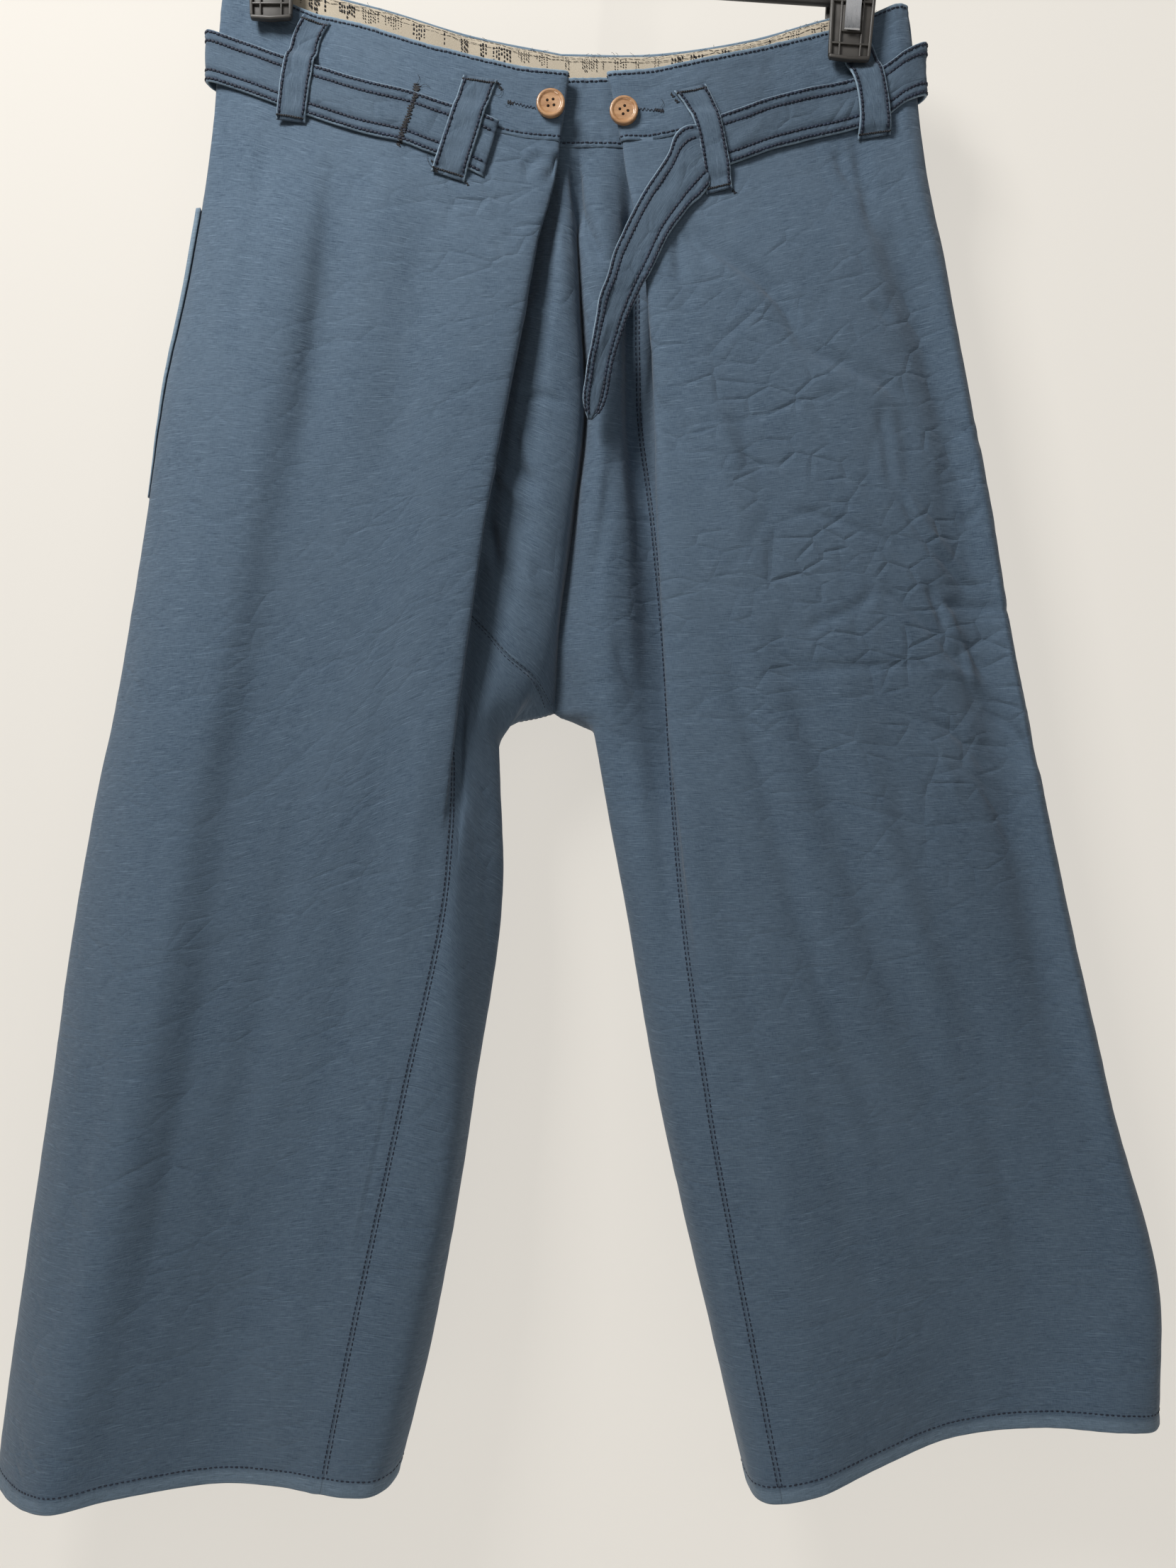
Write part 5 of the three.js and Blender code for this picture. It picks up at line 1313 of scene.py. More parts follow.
def strapObject(name, upper, lower, out, at, kind, seed):
    # a doubled strap with rounded edges that its rows of stitches draw in
    looks = strap[kind]
    width, half = looks["width"], looks["thickness"] / 2
    fromEdge = np.array(looks["rows"], float)
    place = np.concatenate([fromEdge, (width - fromEdge)[::-1]])
    edge = np.minimum(place, width - place)
    rounding = np.sqrt(np.clip(1 - np.clip(1 - edge / 1.3, 0, 1) ** 2.2, 0, 1))
    a, d = np.meshgrid(at, place, indexing="ij")
    inward = np.minimum(d, width - d)
    drawn = sum(bell(inward, row, 0.75) for row in looks["stitches"])
    outer = bell(inward, looks["stitches"][-1] / 2, 3.2)
    pucker = 0.3 * np.sin(a * 1.5 + 0.5 * d + 2.4 * latticeNoise(a, d, 9, seed)) * outer
    middle = np.clip((inward - looks["stitches"][-1]) / 4, 0, 1)
    slanted = a + 0.7 * d
    soft = 0.85 * latticeNoise(slanted, d * 1.4, 14, seed + 1) + 0.4 * latticeNoise(slanted, d, 6, seed + 2)
    rise = 0.25 * outer - 0.45 * drawn + pucker + soft * middle
    wobble = 0.22 * latticeNoise(a, np.where(d < width / 2, 0, 60), 13, seed + 4) * np.exp(-edge / 3)
    base = upper[:, None] + (lower - upper)[:, None] * (place / width)[None, :, None]
    base = base + unitOf(lower - upper)[:, None] * (wobble * np.where(d < width / 2, -1, 1))[..., None]
    ends = np.minimum(np.arange(len(at)), np.arange(len(at))[::-1])
    endRound = np.interp(ends, [0, 1, 2], [0.45, 0.85, 1.0])[:, None]
    front = base + out[:, None] * ((half * rounding * endRound) + rise * rounding)[..., None]
    back = base - out[:, None] * (half * rounding * endRound * 0.9)[..., None]
    rows, columns = len(place), len(at)
    ring = np.concatenate([front, back[:, ::-1][:, 1:-1]], axis=1)
    count = ring.shape[1]
    faces = [(c * count + r, c * count + (r + 1) % count, (c + 1) * count + (r + 1) % count, (c + 1) * count + r)
             for c in range(columns - 1) for r in range(count)]
    backOf = lambda r: r if r in (0, rows - 1) else count - r
    for c in (0, columns - 1):
        for r in range(rows - 1):
            face = dict.fromkeys(c * count + i for i in (r, r + 1, backOf(r + 1), backOf(r)))
            faces.append(tuple(face))
    mesh = bpy.data.meshes.new(name)
    mesh.from_pydata((ring.reshape(-1, 3) / 1000).tolist(), [], faces)
    around = np.concatenate([place, (2 * width - place[::-1][1:-1])])
    flat = np.stack(np.meshgrid(at, around, indexing="ij"), axis=-1).reshape(-1, 2)
    atCorners = np.array([corner.vertex_index for corner in mesh.loops])
    # pale worn edges, less a painted shade along each row of stitches, where the values fall below zero
    worn = bell(edge, 0, 0.95) - 0.95 * sum(bell(edge, row, 1.05) for row in looks["stitches"])
    worn = np.broadcast_to(worn, (columns, rows)) * (0.8 + 0.3 * latticeNoise(a, d, 10, seed + 8))
    worn = np.concatenate([worn, np.zeros((columns, count - rows))], axis=1)
    piece = clothObject(name, mesh, flat[atCorners] + seed * 11, np.clip(worn, -1, 1).ravel(),
                        np.full(columns * count, 0.9), shadedTrimCloth)
    outwardFaces(piece)
    for k, row in enumerate(looks["stitches"]):
        for side, distance in enumerate((row, width - row)):
            line = front[2:-2, np.argmin(np.abs(place - distance))]
            stitchLine("belts", line, out[2:-2], 0.45, seed=seed + 5 * k + side, width=1.7,
                       slant=0.2, length=3.0, pitch=2.75)
    return piece, front


def outwardFaces(piece):
    selectOnly(piece)
    bpy.ops.object.mode_set(mode="EDIT")
    bpy.ops.mesh.select_all(action="SELECT")
    bpy.ops.mesh.normals_make_consistent(inside=False)
    bpy.ops.object.mode_set(mode="OBJECT")


def finishStrap(piece, node):
    finishPiece(piece, node)


clothTree = castTree(list(panels.values()) + list(bands.values()))
belts = {}
for k, (name, stations) in enumerate(beltStations.items()):
    upper, lower, at = beltPath(stations, clothTree)
    side = stations[0][4]
    out = outOfPath(upper, lower, 0 if side == "front" else len(at) // 2, side)
    piece, front = strapObject(name + "_strap", upper, lower, out, at, "belt", 201 + 20 * k)
    finishStrap(piece, name)
    belts[name] = piece


def addTie():
    keys = np.array([np.concatenate([fromPhoto(*leftPixel, leftDepth), fromPhoto(*rightPixel, rightDepth)])
                     for leftPixel, rightPixel, leftDepth, rightDepth in tieStations])
    dense = throughKeys(keys, [8] * (len(keys) - 1))
    along = lengthsAlong((dense[:, :3] + dense[:, 3:]) / 2)
    at = np.linspace(0, along[-1], int(along[-1] / 1.5) + 1)
    path = evenly(dense, at, along)
    upper, lower = path[:, :3], path[:, 3:]
    out = outOfPath(upper, lower, 5, "front")
    piece = strapObject("belt_tie_strap", upper, lower, out, at, "belt", 281)[0]
    finishStrap(piece, "belt_tie")
    return piece


def loopEdges(name):
    # both edges of a loop at even steps across and up, and the side that it lies on
    first, second = loopStations[name]
    if isinstance(first, tuple):
        ends = np.array([first, second], float)
        half = strap["loop"]["width"] / 2
        edges = ends - (half, 0), ends + (half, 0)
        side = "back"
    else:
        faces = [faceDepth(loopTree, *fromPhoto(*pixel, -20)[[0, 2]], "front") or -15 for pixel in first]
        depth = np.mean(faces) - 2
        edges = (np.array([fromPhoto(*pixel, depth)[[0, 2]] for pixel in edge]) for edge in (first, second))
        edges = [throughKeys(edge, [6] * (len(edge) - 1)) for edge in edges]
        side = "front"
    along = lengthsAlong((edges[0] + edges[1]) / 2)
    at = np.linspace(0, along[-1], int(along[-1] / 1.3) + 1)
    return *(evenly(edge, at, along) for edge in edges), at, side


def addLoop(name, seed):
    leftFlat, rightFlat, at, side = loopEdges(name)
    sign = -1 if side == "front" else 1
    proud = []
    for a, b in zip(leftFlat, rightFlat):
        found = facesAcross(loopTree, a, b, (0.02, 0.25, 0.5, 0.75, 0.98), side)
        proud.append(max(found) if found else proud[-1])
    proud = smoothRun(runMax(np.array(proud), 2), 3)
    depth = sign * (proud + strap["loop"]["thickness"] / 2 + 0.3)
    leftEdge, rightEdge = (np.insert(edge, 1, depth, axis=1) for edge in (leftFlat, rightFlat))
    out = outOfPath(leftEdge, rightEdge, len(at) // 2, side)
    piece, front = strapObject(name + "_strap", leftEdge, rightEdge, out, at, "loop", seed)
    finishStrap(piece, name)
    for row in (2, -3):
        line = front[row, 1:-1]
        stitchLine("tacks", line, np.broadcast_to(out[row], line.shape), 0.2, pitch=1.5, length=1.8, width=1.3,
                   slant=0.4, seed=seed + row)
    return piece


tiePiece = addTie()
loopTree = castTree(list(panels.values()) + list(bands.values()) + list(belts.values()))
loopPieces = {name: addLoop(name, 401 + 9 * k) for k, name in enumerate(loopStations)}

print("pocket")

pocket = {"top": 0.24, "bottom": 0.68, "lift": 1.2, "edge": 3.0}


def addPocket():
    rows = [r for r in range(splitRow) if pocket["top"] <= rowShares[r] <= pocket["bottom"]]
    grid = cutGrid(left, rows[0], rows[-1], columnsLeft["backMiddle"], columnsLeft["side"])
    points = grid["points"] + grid["outward"] * pocket["lift"]
    reach = pocket["edge"] * (1 - np.linspace(0, 1, len(rows))[:, None] ** 1.6)
    side = np.array([-1.0, 0.12, 0.0])
    more = [points[:, -1] + side * reach * share for share in (0.35, 0.7, 1.0)]
    back = [more[-1] + np.array([0.5, -1.3, 0]) * np.minimum(reach, 1),
            points[:, -1] + np.array([0.4, -1.6, 0])]
    points = np.concatenate([points, np.stack(more + back, axis=1)], axis=1)
    wearAndShade = np.zeros(points.shape[:2])
    wearAndShade[:, -4:] = 0.5
    wearAndShade[:2] = 0.4
    piece = sheetObject("pocket_left_cloth", points, placesFrom(points) + 400, wearAndShade, pantsCloth, 0.8)
    finishPiece(piece, "pocket_left")
    for n, column in enumerate((3, 8)):
        line = points[2:-2, column]
        stitchLine("panels", line, np.broadcast_to([0, 1.0, 0], line.shape), 0.5, seed=91 + n)


addPocket()

print("buttons")

button = {"width": 18, "thickness": 3.2, "dish": 0.75, "hole": 1.9, "spacing": 3.7, "turn": 14}


def buttonMaterial():
    material, tree, shader = startMaterial("tan button")
    place = addNode(tree, "ShaderNodeTexCoord").outputs["Object"]
    streaks = stretchedNoise(tree, place, (90, 90, 420), 4.0)
    cloud = stretchedNoise(tree, place, (260, 260, 260), 3.0, (2, 0, 4))
    colour = mixColour(tree, ramp(tree, streaks, 0.35, 0.65), (0.27, 0.135, 0.060), (0.42, 0.235, 0.115))
    colour = mixColour(tree, times(tree, ramp(tree, cloud, 0.45, 0.7), 0.35), colour, (0.47, 0.285, 0.150))
    fillNode(tree, shader, {
        "Base Color": colour, "Roughness": calculate(tree, "MULTIPLY_ADD", cloud, 0.25, 0.27),
        "Coat Weight": 0.25, "Normal": bumpFrom(tree, streaks, 0.15, 0.0003),
    })
    return material


def selectFaces(piece, test):
    mesh = bmesh.from_edit_mesh(piece.data)
    for face in mesh.faces:
        face.select = False
    for face in mesh.faces:
        if test(face):
            face.select = True
    mesh.select_flush_mode()
    bmesh.update_edit_mesh(piece.data)


def makeButton():
    # the face looks along -Y; it is modelled at the origin and copied to both places
    bpy.ops.object.select_all(action="DESELECT")
    bpy.ops.mesh.primitive_cylinder_add(vertices=64, radius=button["width"] / 2000,
                                        depth=button["thickness"] / 1000, rotation=(math.pi / 2, 0, 0))
    piece = bpy.context.object
    bpy.ops.object.transform_apply(location=True, rotation=True, scale=True)
    isFace = lambda face: face.normal.y < -0.9 and face.calc_center_median().length < 0.006
    bpy.ops.object.mode_set(mode="EDIT")
    bpy.ops.mesh.select_mode(type="FACE")
    selectFaces(piece, isFace)
    bpy.ops.mesh.inset(thickness=0.0009)
    bpy.ops.transform.translate(value=(0, -0.0004, 0))
    bpy.ops.mesh.inset(thickness=0.0009)
    bpy.ops.mesh.inset(thickness=0.0006)
    bpy.ops.transform.translate(value=(0, button["dish"] / 1000, 0))
    bpy.ops.mesh.inset(thickness=0.0007)
    bpy.ops.transform.translate(value=(0, 0.00012, 0))
    bpy.ops.object.mode_set(mode="OBJECT")
    edges = piece.modifiers.new("edges", "BEVEL")
    edges.width = 0.0006
    edges.segments = 3
    edges.limit_method = "ANGLE"
    edges.angle_limit = math.radians(28)
    applyModifiers(piece)
    cutters = []
    for x in (-1, 1):
        for z in (-1, 1):
            turn = math.radians(button["turn"])
            px = (x * math.cos(turn) - z * math.sin(turn)) * button["spacing"] / 2000
            pz = (x * math.sin(turn) + z * math.cos(turn)) * button["spacing"] / 2000
            bpy.ops.object.select_all(action="DESELECT")
            bpy.ops.mesh.primitive_cylinder_add(vertices=20, radius=button["hole"] / 2000, depth=0.01,
                                                rotation=(math.pi / 2, 0, 0), location=(px, 0, pz))
            cutters.append(bpy.context.object)
    for cutter in cutters:
        hole = piece.modifiers.new("hole", "BOOLEAN")
        hole.object = cutter
        hole.operation = "DIFFERENCE"
        hole.solver = "EXACT"
    applyModifiers(piece)
    for cutter in cutters:
        bpy.data.objects.remove(cutter)
    selectOnly(piece)
    bpy.ops.object.shade_smooth_by_angle(angle=math.radians(35))
    return piece


def placeCopy(template, name, place, turn=0.0, about=0.0):
    # a copy turned about the upright axis first, then tilted, then put in its place
    turned = Matrix.Rotation(turn, 4, "Y") @ Matrix.Rotation(about, 4, "Z")
    mesh = template.data.copy()
    mesh.transform(Matrix.Translation(Vector(place) / 1000) @ turned)
    piece = linkPiece(name, mesh)
    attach(piece, "root")
    return piece


buttonTemplate = makeButton()
buttonTemplate.data.materials.append(buttonMaterial())
for name, pixel, turn in (("button_left", (777, 149), 0.1), ("button_right", (880, 158), -0.35)):
    x, _, z = fromPhoto(*pixel, -20)
    face = faceDepth(clothTree, x, z, "front")
    middle = np.array([x, face - button["thickness"] / 2 - 0.35, z])
    piece = placeCopy(buttonTemplate, name + "_disc", middle, turn)
    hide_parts(name)
    reach = button["spacing"] / 2
    angle = math.radians(button["turn"]) - turn
    corners = []
    for cx, cz in ((-1, -1), (1, -1), (1, 1), (-1, 1)):
        px, pz = cx * reach, cz * reach
        corners.append(middle + np.array([px * math.cos(angle) - pz * math.sin(angle),
                                          -button["thickness"] / 2 + 0.45,
                                          px * math.sin(angle) + pz * math.cos(angle)]))
    for corner in corners:   # the thread that fills each hole
        for shift in (-0.3, 0.3):
            start = corner + np.array([shift, 0.9, 0])
            addDash("buttonThread", start, start + np.array([0.15, -0.9, 0.1]), np.array([1.0, 0, 0]),
                    0.75, 1.0)
bpy.data.objects.remove(buttonTemplate)

print("buttonholes and tacks")


def onCloth(tree, pixel, lift=0.2, depth=-20):
    # the place on the cloth that shows at a pixel, with a lift towards the camera
    x, _, z = fromPhoto(*pixel, depth)
    for _ in range(3):
        found = faceDepth(tree, x, z, "front")
        if found is None:
            break
        x, _, z = fromPhoto(*pixel, found)
    return np.array([x, (found if found is not None else depth) - lift, z])


def zigzag(group, tree, start, end, across, pitch, width, seed, lift=0.3):
    # thread that goes from side to side along a line between two pixels
    rng = random.Random(seed)
    start, end = np.array(start, float), np.array(end, float)
    length = np.linalg.norm(end - start)
    axis = (end - start) / length
    side = np.array([-axis[1], axis[0]])
    count = max(2, int(length / pitch))
    towards = np.array([0, -1.0, 0])
    points = []
    for k in range(count + 1):
        sway = across / 2 * (1 if k % 2 else -1) * rng.uniform(0.6, 1.2)
        points.append(onCloth(tree, start + axis * length * k / count + side * sway, lift))
    for a, b in zip(points, points[1:]):
        addDash(group, a, b, towards, width * rng.uniform(0.8, 1.2))


def looseThread(group, tree, start, turns, width=0.28, lift=0.9):
    # a thread end from a pixel, through the pixels after it
    line = throughKeys(np.array([(*start, 0.0)] + [(*turn, 0.0) for turn in turns], float), [5] * len(turns))
    points = [onCloth(tree, pixel[:2], lift) for pixel in line]
    for a, b in zip(points, points[1:]):
        if np.linalg.norm(b - a) > 0.05 and abs(b[1] - a[1]) < 6:
            addDash(group, a, b, np.array([0, -1.0, 0]), width, 1.0)


allTree = castTree(list(panels.values()) + list(bands.values()) + list(belts.values())
                   + list(loopPieces.values()) + [tiePiece])
zigzag("tacks", allTree, (590, 121), (561, 206), 9, 2.0, 0.8, 501)
zigzag("tacks", allTree, (592, 121), (563, 206), 7, 2.6, 0.8, 502)
zigzag("tacks", allTree, (588, 118), (584, 130), 12, 1.6, 0.8, 503)
# the slot of each buttonhole runs outward from its button
zigzag("holes", allTree, (756, 153), (718, 144), 5, 2.4, 0.5, 511)
zigzag("holes", allTree, (899, 154), (937, 156), 5, 2.4, 0.5, 512)
zigzag("tacks", allTree, (724, 147), (716, 143), 7, 1.6, 0.7, 513)
zigzag("tacks", allTree, (924, 154), (936, 158), 6, 1.8, 0.6, 514)
looseThread("tacks", allTree, (720, 144), [(716, 150), (712, 148)])
looseThread("tacks", allTree, (932, 152), [(936, 146), (933, 141)])
looseThread("tacks", allTree, (588, 120), [(592, 112), (590, 106)])
looseThread("tacks", allTree, (594, 122), [(600, 120), (607, 124)])
for pixel in ((700, 115), (704, 122), (952, 140), (946, 132), (608, 226), (612, 238), (656, 257), (1033, 268)):
    zigzag("tacks", allTree, pixel, (pixel[0] + 5, pixel[1] + 5), 5, 1.7, 0.55, 520 + pixel[0])
looseThread("tacks", allTree, (702, 118), [(709, 128), (704, 136), (697, 134)])
looseThread("tacks", allTree, (607, 214), [(603, 222), (606, 232), (612, 238)])


def facingThreads():
    # black stitches come through the facing in clusters, with loose ends along its top
    foot = innerFoot()
    along = lengthsAlong(bandPoint(foot, 0.0))
    rng = random.Random(77)
    top = cloth["bandHeight"] - facing["drop"]
    off = -(facing["behind"] + facing["wall"] / 2 + 0.35)

    def place(at, height, lift=0.0):
        return evenly(bandPoint(foot, height) + foot["out"] * (off - lift), at, along)

    def out(at):
        return -evenly(foot["out"], at, along)

    for low in (1.1, 3.4):   # long wandering threads
        at = 4.0
        height = top - low
        while at < along[-1] - 6:
            step = rng.uniform(2.5, 5.5)
            nextHeight = top - low + rng.uniform(-0.7, 0.7)
            addDash("facing", place(at, height), place(at + step, nextHeight), out(at), 0.34)
            at, height = at + step, nextHeight
    at = 6.0
    while at < along[-1] - 8:
        thick = rng.random() < 0.35
        for _ in range(rng.choice([1, 2, 3, 5, 7])):
            low = rng.uniform(1.5, 3.0)
            while low < rng.uniform(6, 12):
                length = rng.uniform(0.9, 2.6) if thick else rng.uniform(0.5, 1.3)
                drift = rng.uniform(-0.25, 0.25)
                addDash("facing", place(at, top - low), place(at + drift, top - low - length), out(at),
                        rng.uniform(0.9, 1.4) if thick else rng.uniform(0.5, 0.8))
                low += length + rng.uniform(0.5, 1.1)
            at += rng.uniform(1.3, 2.2)
        at += rng.uniform(2, 13)
    for _ in range(46):   # loose ends that stand up past the top
        at = rng.uniform(10, along[-1] - 10)
        height, drift = top + rng.uniform(-0.6, 0.8), rng.uniform(-1.2, 1.2)
        last = place(at, height, 0.1)
        for k in range(rng.choice([2, 3, 4])):
            at += drift + rng.uniform(-0.5, 0.5)
            height += rng.uniform(-0.2, 1.0)
            here = place(at, height, 0.1)
            addDash("facing", last, here, out(at), 0.24, 1.0)
            last = here


facingThreads()

print("hanger and clips")

clip = {"width": 29.5, "height": 60, "thickness": 4.2, "taper": 0.9,
        "left": ((384, 33), 0.0), "right": ((1196, 90), 0.075)}   # the pixel under its middle, and its tilt


def plasticMaterial(name, dark, light, rough):
    material, tree, shader = startMaterial(name)
    place = addNode(tree, "ShaderNodeTexCoord").outputs["Object"]
    grain = stretchedNoise(tree, place, (1500, 1500, 1500), 2.0)
    scuffs = stretchedNoise(tree, place, (70, 70, 70), 4.0, (1, 5, 2))
    colour = mixColour(tree, ramp(tree, scuffs, 0.4, 0.7), dark, light)
    fillNode(tree, shader, {
        "Base Color": colour, "Roughness": calculate(tree, "MULTIPLY_ADD", scuffs, 0.22, rough),
        "Normal": bumpFrom(tree, grain, 0.12, 0.0002),
    })
    return material


def steelMaterial():
    material, tree, shader = startMaterial("spring steel")
    place = addNode(tree, "ShaderNodeTexCoord").outputs["Object"]
    brushed = stretchedNoise(tree, place, (2600, 2600, 60), 2.0)
    marks = stretchedNoise(tree, place, (120, 120, 120), 3.0, (2, 2, 2))
    colour = mixColour(tree, ramp(tree, marks, 0.4, 0.7), (0.62, 0.63, 0.65), (0.50, 0.52, 0.55))
    fillNode(tree, shader, {"Base Color": colour, "Metallic": 1.0,
                            "Roughness": calculate(tree, "MULTIPLY_ADD", brushed, 0.2, 0.2)})
    return material


blackPlastic = plasticMaterial("hanger plastic", (0.016, 0.015, 0.014), (0.030, 0.028, 0.026), 0.32)
greyPlastic = plasticMaterial("clip plastic", (0.036, 0.033, 0.030), (0.062, 0.058, 0.053), 0.36)
steel = steelMaterial()


def addBlock(middle, size, bevel):
    # a moulded block with rounded edges
    bpy.ops.object.select_all(action="DESELECT")
    bpy.ops.mesh.primitive_cube_add(size=1, location=[n / 1000 for n in middle])
    block = bpy.context.object
    block.scale = [n / 1000 for n in size]
    bpy.ops.object.transform_apply(location=True, rotation=True, scale=True)
    edges = block.modifiers.new("edges", "BEVEL")
    edges.width = bevel / 1000
    edges.segments = 2
    applyModifiers(block)
    return block


def joinBlocks(blocks, name):
    bpy.ops.object.select_all(action="DESELECT")
    for block in blocks:
        block.select_set(True)
    bpy.context.view_layer.objects.active = blocks[0]
    bpy.ops.object.join()
    joined = bpy.context.object
    joined.name = name
    return joined


def clipOutline(piece):
    # the jaw narrows a little and its lower corners are round
    half = clip["width"] / 2000
    for point in piece.data.vertices:
        share = min(max(point.co.z / (clip["height"] / 1000), 0), 1)
        point.co.x *= clip["taper"] + (1 - clip["taper"]) * share
        if point.co.z < 0.006:
            point.co.z += 0.0022 * max(0, abs(point.co.x) / half - 0.45) ** 2 * 2.4


def makeJaw():
    # the jaw's face looks along -Y, with its lower edge at the origin
    wide, thick, tall = clip["width"], clip["thickness"], clip["height"]
    blocks = [
        addBlock((0, thick / 2, tall / 2 + 1), (wide, 1.8, tall - 2), 0.5),              # plate
        addBlock((0, thick / 2 - 1.6, 1.3), (wide - 0.6, 4.6, 2.6), 1.1),                  # lip
        addBlock((-wide / 2 + 1.1, thick / 2 - 1.5, tall / 2 + 1), (2.2, 3.4, tall - 2.4), 0.7),
        addBlock((wide / 2 - 1.1, thick / 2 - 1.5, tall / 2 + 1), (2.2, 3.4, tall - 2.4), 0.7),
        addBlock((-7.3, thick / 2 - 1.4, tall / 2 + 1), (1.3, 3.0, tall - 3), 0.45),
        addBlock((7.3, thick / 2 - 1.4, tall / 2 + 1), (1.3, 3.0, tall - 3), 0.45),
        addBlock((0, thick / 2 - 1.4, 10.8), (wide - 1.5, 3.0, 1.3), 0.45),
        addBlock((0, thick / 2 - 1.2, 27), (14.2, 2.4, 17), 0.6),
        addBlock((0, thick / 2 - 1.4, 38), (wide - 1.5, 3.0, 1.3), 0.45),
        addBlock((0, thick / 2 - 1.4, 47), (15, 2.8, 16), 0.8),
    ]
    jaw = joinBlocks(blocks, "jaw")
    cut = jaw.modifiers.new("finer", "SUBSURF")
    cut.subdivision_type = "SIMPLE"
    cut.levels = cut.render_levels = 1
    applyModifiers(jaw)
    clipOutline(jaw)
    return jaw


def makeSpring():
    # a strip of spring steel over the top of the clip, down its front and a little down its back
    front, back, top = -clip["thickness"] / 2 + 0.2, 15.5, 57
    profile = [(front - 0.6, 18.6), (front - 1.2, 19.2), (front - 1.0, 21), (front - 0.6, 28),
               (front - 0.8, 40), (front - 1.0, 52)]
    middle, radius = (front + back) / 2 - 0.5, (back - front) / 2 + 0.5
    profile += [(middle - radius * math.cos(a), top - 3 + radius * math.sin(a))
                for a in np.radians(range(10, 171, 16))]
    profile += [(back, 52), (back - 0.2, 40), (back - 0.6, 28)]
    across = np.array([-4.9, -4.6, 0, 4.6, 4.9])
    points = np.array([[(x, y, z) for x in across] for y, z in profile])
    return sheetObject("spring", points, placesFrom(points), 0.0, steel, 0.7)


def finishHard(piece, node):
    selectOnly(piece)
    bpy.ops.object.shade_smooth_by_angle(angle=math.radians(30))
    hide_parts(node)


jawTemplate, springTemplate = makeJaw(), makeSpring()
jawTemplate.data.materials.append(greyPlastic)
clipTree = castTree([bands["left"], bands["right"], bands["back"], *loopPieces.values()])
for side in ("left", "right"):
    node = f"clip_{side}_jaw_front"
    pixel, tilt = clip[side]
    x, _, z = fromPhoto(*pixel, -18)
    depths = [faceDepth(clipTree, x + a, z + b, "front")
              for a in (-13, -6, 0, 6, 13) for b in (2, 8, 14, 20, 26)]
    front = min(d for d in depths if d is not None)
    x, _, z = fromPhoto(*pixel, front)
    place = [x, front - 0.3 - clip["thickness"] / 2 - 0.9, z]
    backPlace = [place[0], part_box(f"clip_{side}_jaw_back")[0][1] * 1000 + clip["thickness"], place[2]]
    face = placeCopy(jawTemplate, node + "_plate", place, tilt)
    finishHard(face, node)
    rear = placeCopy(jawTemplate, f"clip_{side}_jaw_back_plate", backPlace, tilt, math.pi)
    finishHard(rear, f"clip_{side}_jaw_back")
    spring = placeCopy(springTemplate, f"clip_{side}_spring_strip", place, tilt)
    finishHard(spring, f"clip_{side}_spring")
for template in (jawTemplate, springTemplate):
    bpy.data.objects.remove(template)
for name, material in (("hanger_bar", blackPlastic), ("hanger_hook", steel)):
    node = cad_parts[name]
    for slot in node.material_slots:
        slot.material = material

joinStitches("panel_stitches", "panels", navyThread)
joinStitches("band_stitches", "bands", navyThread)
joinStitches("belt_stitches", "belts", navyThread)
joinStitches("loop_tacks", "tacks", blackThread)
joinStitches("buttonhole_stitches", "holes", navyThread)
joinStitches("button_threads", "buttonThread", blackThread)
joinStitches("facing_threads", "facing", blackThread)

print("stage and lights")

stageLooks = {"floor": (0.80, 0.785, 0.76), "wall": (0.20, 0.191, 0.176),
              "floorAt": -1.36, "wallAt": 0.066, "glow": 3.1}


def stageMaterial(name, colour):
    material, tree, shader = startMaterial(name)
    place = addNode(tree, "ShaderNodeTexCoord").outputs["Object"]
    fleck = stretchedNoise(tree, place, (4, 4, 4), 4.0)
    tint = mixColour(tree, times(tree, fleck, 0.05), colour, tuple(0.9 * part for part in colour))
    fillNode(tree, shader, {"Base Color": tint, "Roughness": 0.95, "Specular IOR Level": 0.1})
    return material, tree, shader


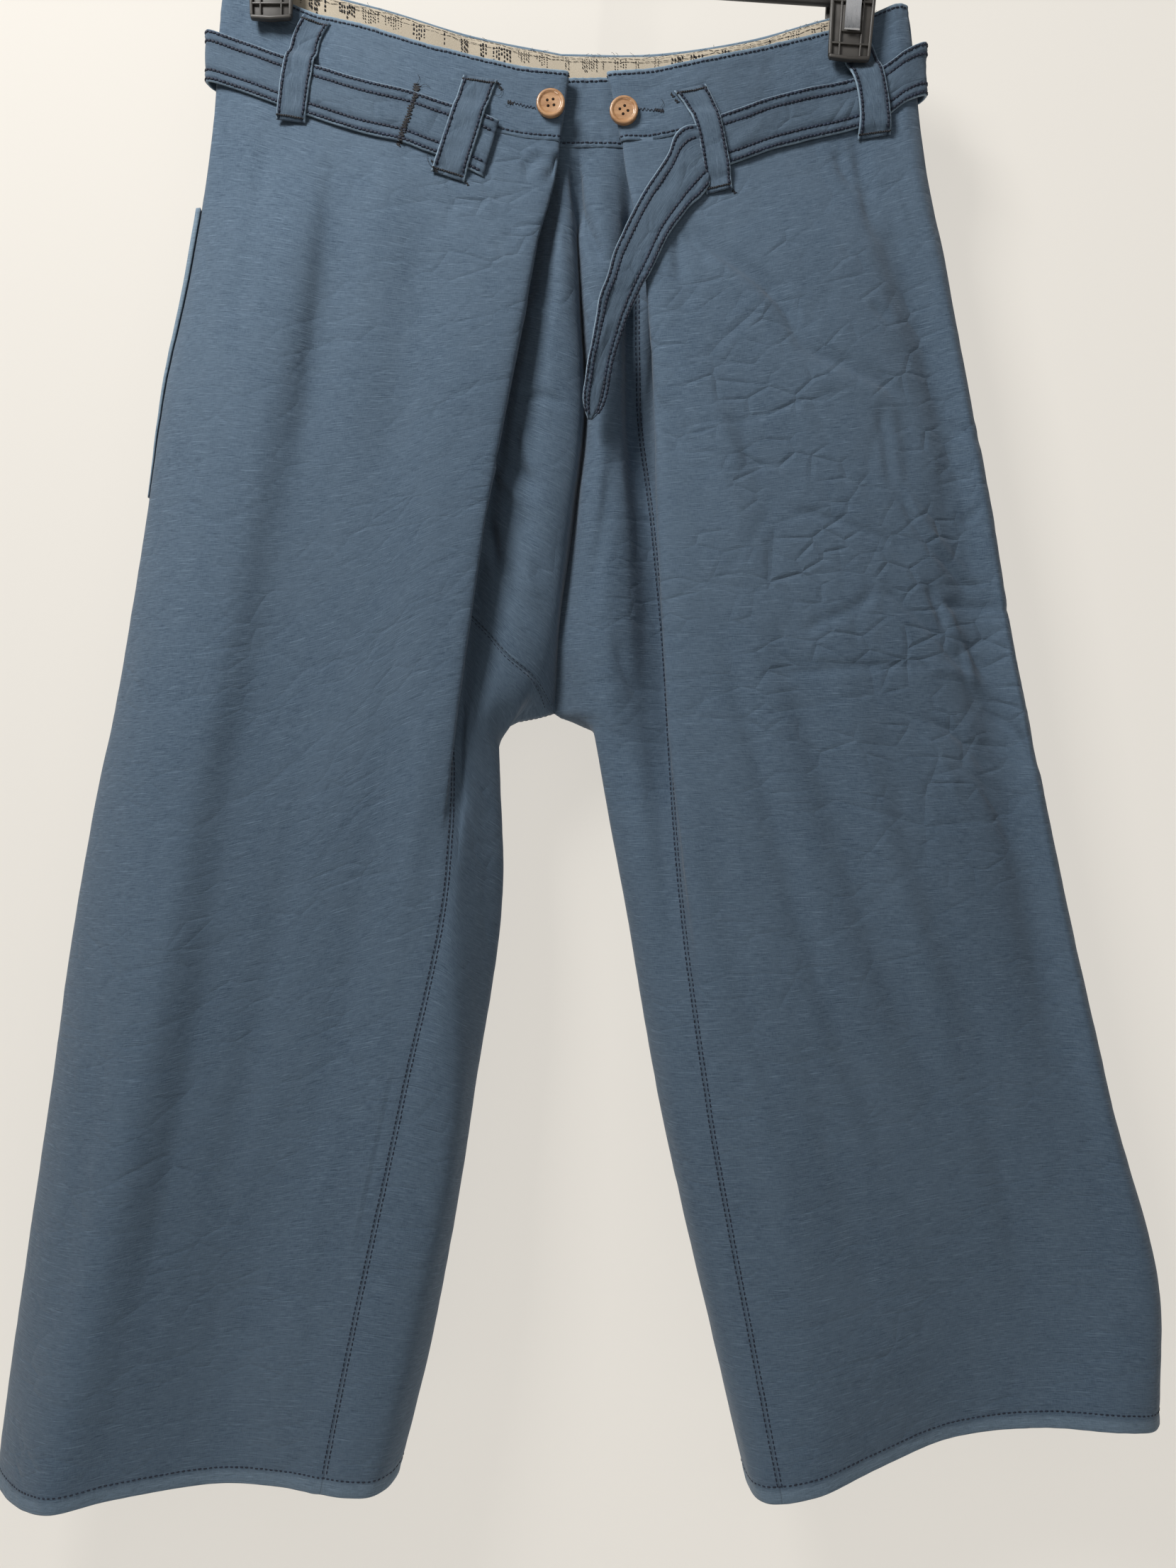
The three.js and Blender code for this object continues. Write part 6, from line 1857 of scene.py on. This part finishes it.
def addStage():
    bpy.ops.object.select_all(action="DESELECT")
    bpy.ops.mesh.primitive_plane_add(size=6, location=(0, 0, stageLooks["floorAt"]))
    floor = bpy.context.object
    floor.name = "floor"
    floor.data.materials.append(stageMaterial("floor paint", stageLooks["floor"])[0])
    bpy.ops.object.select_all(action="DESELECT")
    bpy.ops.mesh.primitive_plane_add(size=6, location=(0, stageLooks["wallAt"], 0), rotation=(math.pi / 2, 0, 0))
    wall = bpy.context.object
    wall.name = "wall"
    bpy.ops.object.transform_apply(location=True, rotation=True, scale=True)
    material, tree, shader = stageMaterial("wall paint", stageLooks["wall"])
    shader.inputs["Emission Color"].default_value = (*stageLooks["wall"], 1)
    shader.inputs["Emission Strength"].default_value = stageLooks["glow"]
    seenFromBehind = addNode(tree, "ShaderNodeNewGeometry").outputs["Backfacing"]
    clear = addNode(tree, "ShaderNodeBsdfTransparent")
    both = addNode(tree, "ShaderNodeMixShader",
                   {0: seenFromBehind, 1: shader.outputs[0], 2: clear.outputs[0]})
    tree.links.new(both.outputs[0], tree.nodes["Material Output"].inputs["Surface"])
    wall.data.materials.append(material)


def addLamp(name, place, target, size, power, colour):
    data = bpy.data.lights.new(name, "AREA")
    data.shape = "RECTANGLE"
    data.size, data.size_y = size
    data.energy = power
    data.color = colour
    lamp = linkPiece(name, data)
    lamp.location = place
    direction = Vector(target) - Vector(place)
    lamp.rotation_euler = direction.to_track_quat("-Z", "Y").to_euler()


addStage()
addLamp("window", (-0.62, -0.85, 0.5), (0, 0, -0.35), (0.4, 0.45), 25, (1.0, 0.985, 0.96))
addLamp("room", (0.7, -1.9, 0.2), (0, 0, -0.5), (1.4, 1.4), 6, (1.0, 0.97, 0.93))
addLamp("behind", (0.6, 1.9, 0.1), (0, 0, -0.55), (1.6, 1.6), 22, (1.0, 0.98, 0.96))
world = bpy.data.worlds.new("pale room")
bpy.context.scene.world = world
world.use_nodes = True
world.node_tree.nodes["Background"].inputs["Color"].default_value = (0.93, 0.95, 1.0, 1)
world.node_tree.nodes["Background"].inputs["Strength"].default_value = 0.09
bpy.context.scene.view_settings.view_transform = "Standard"
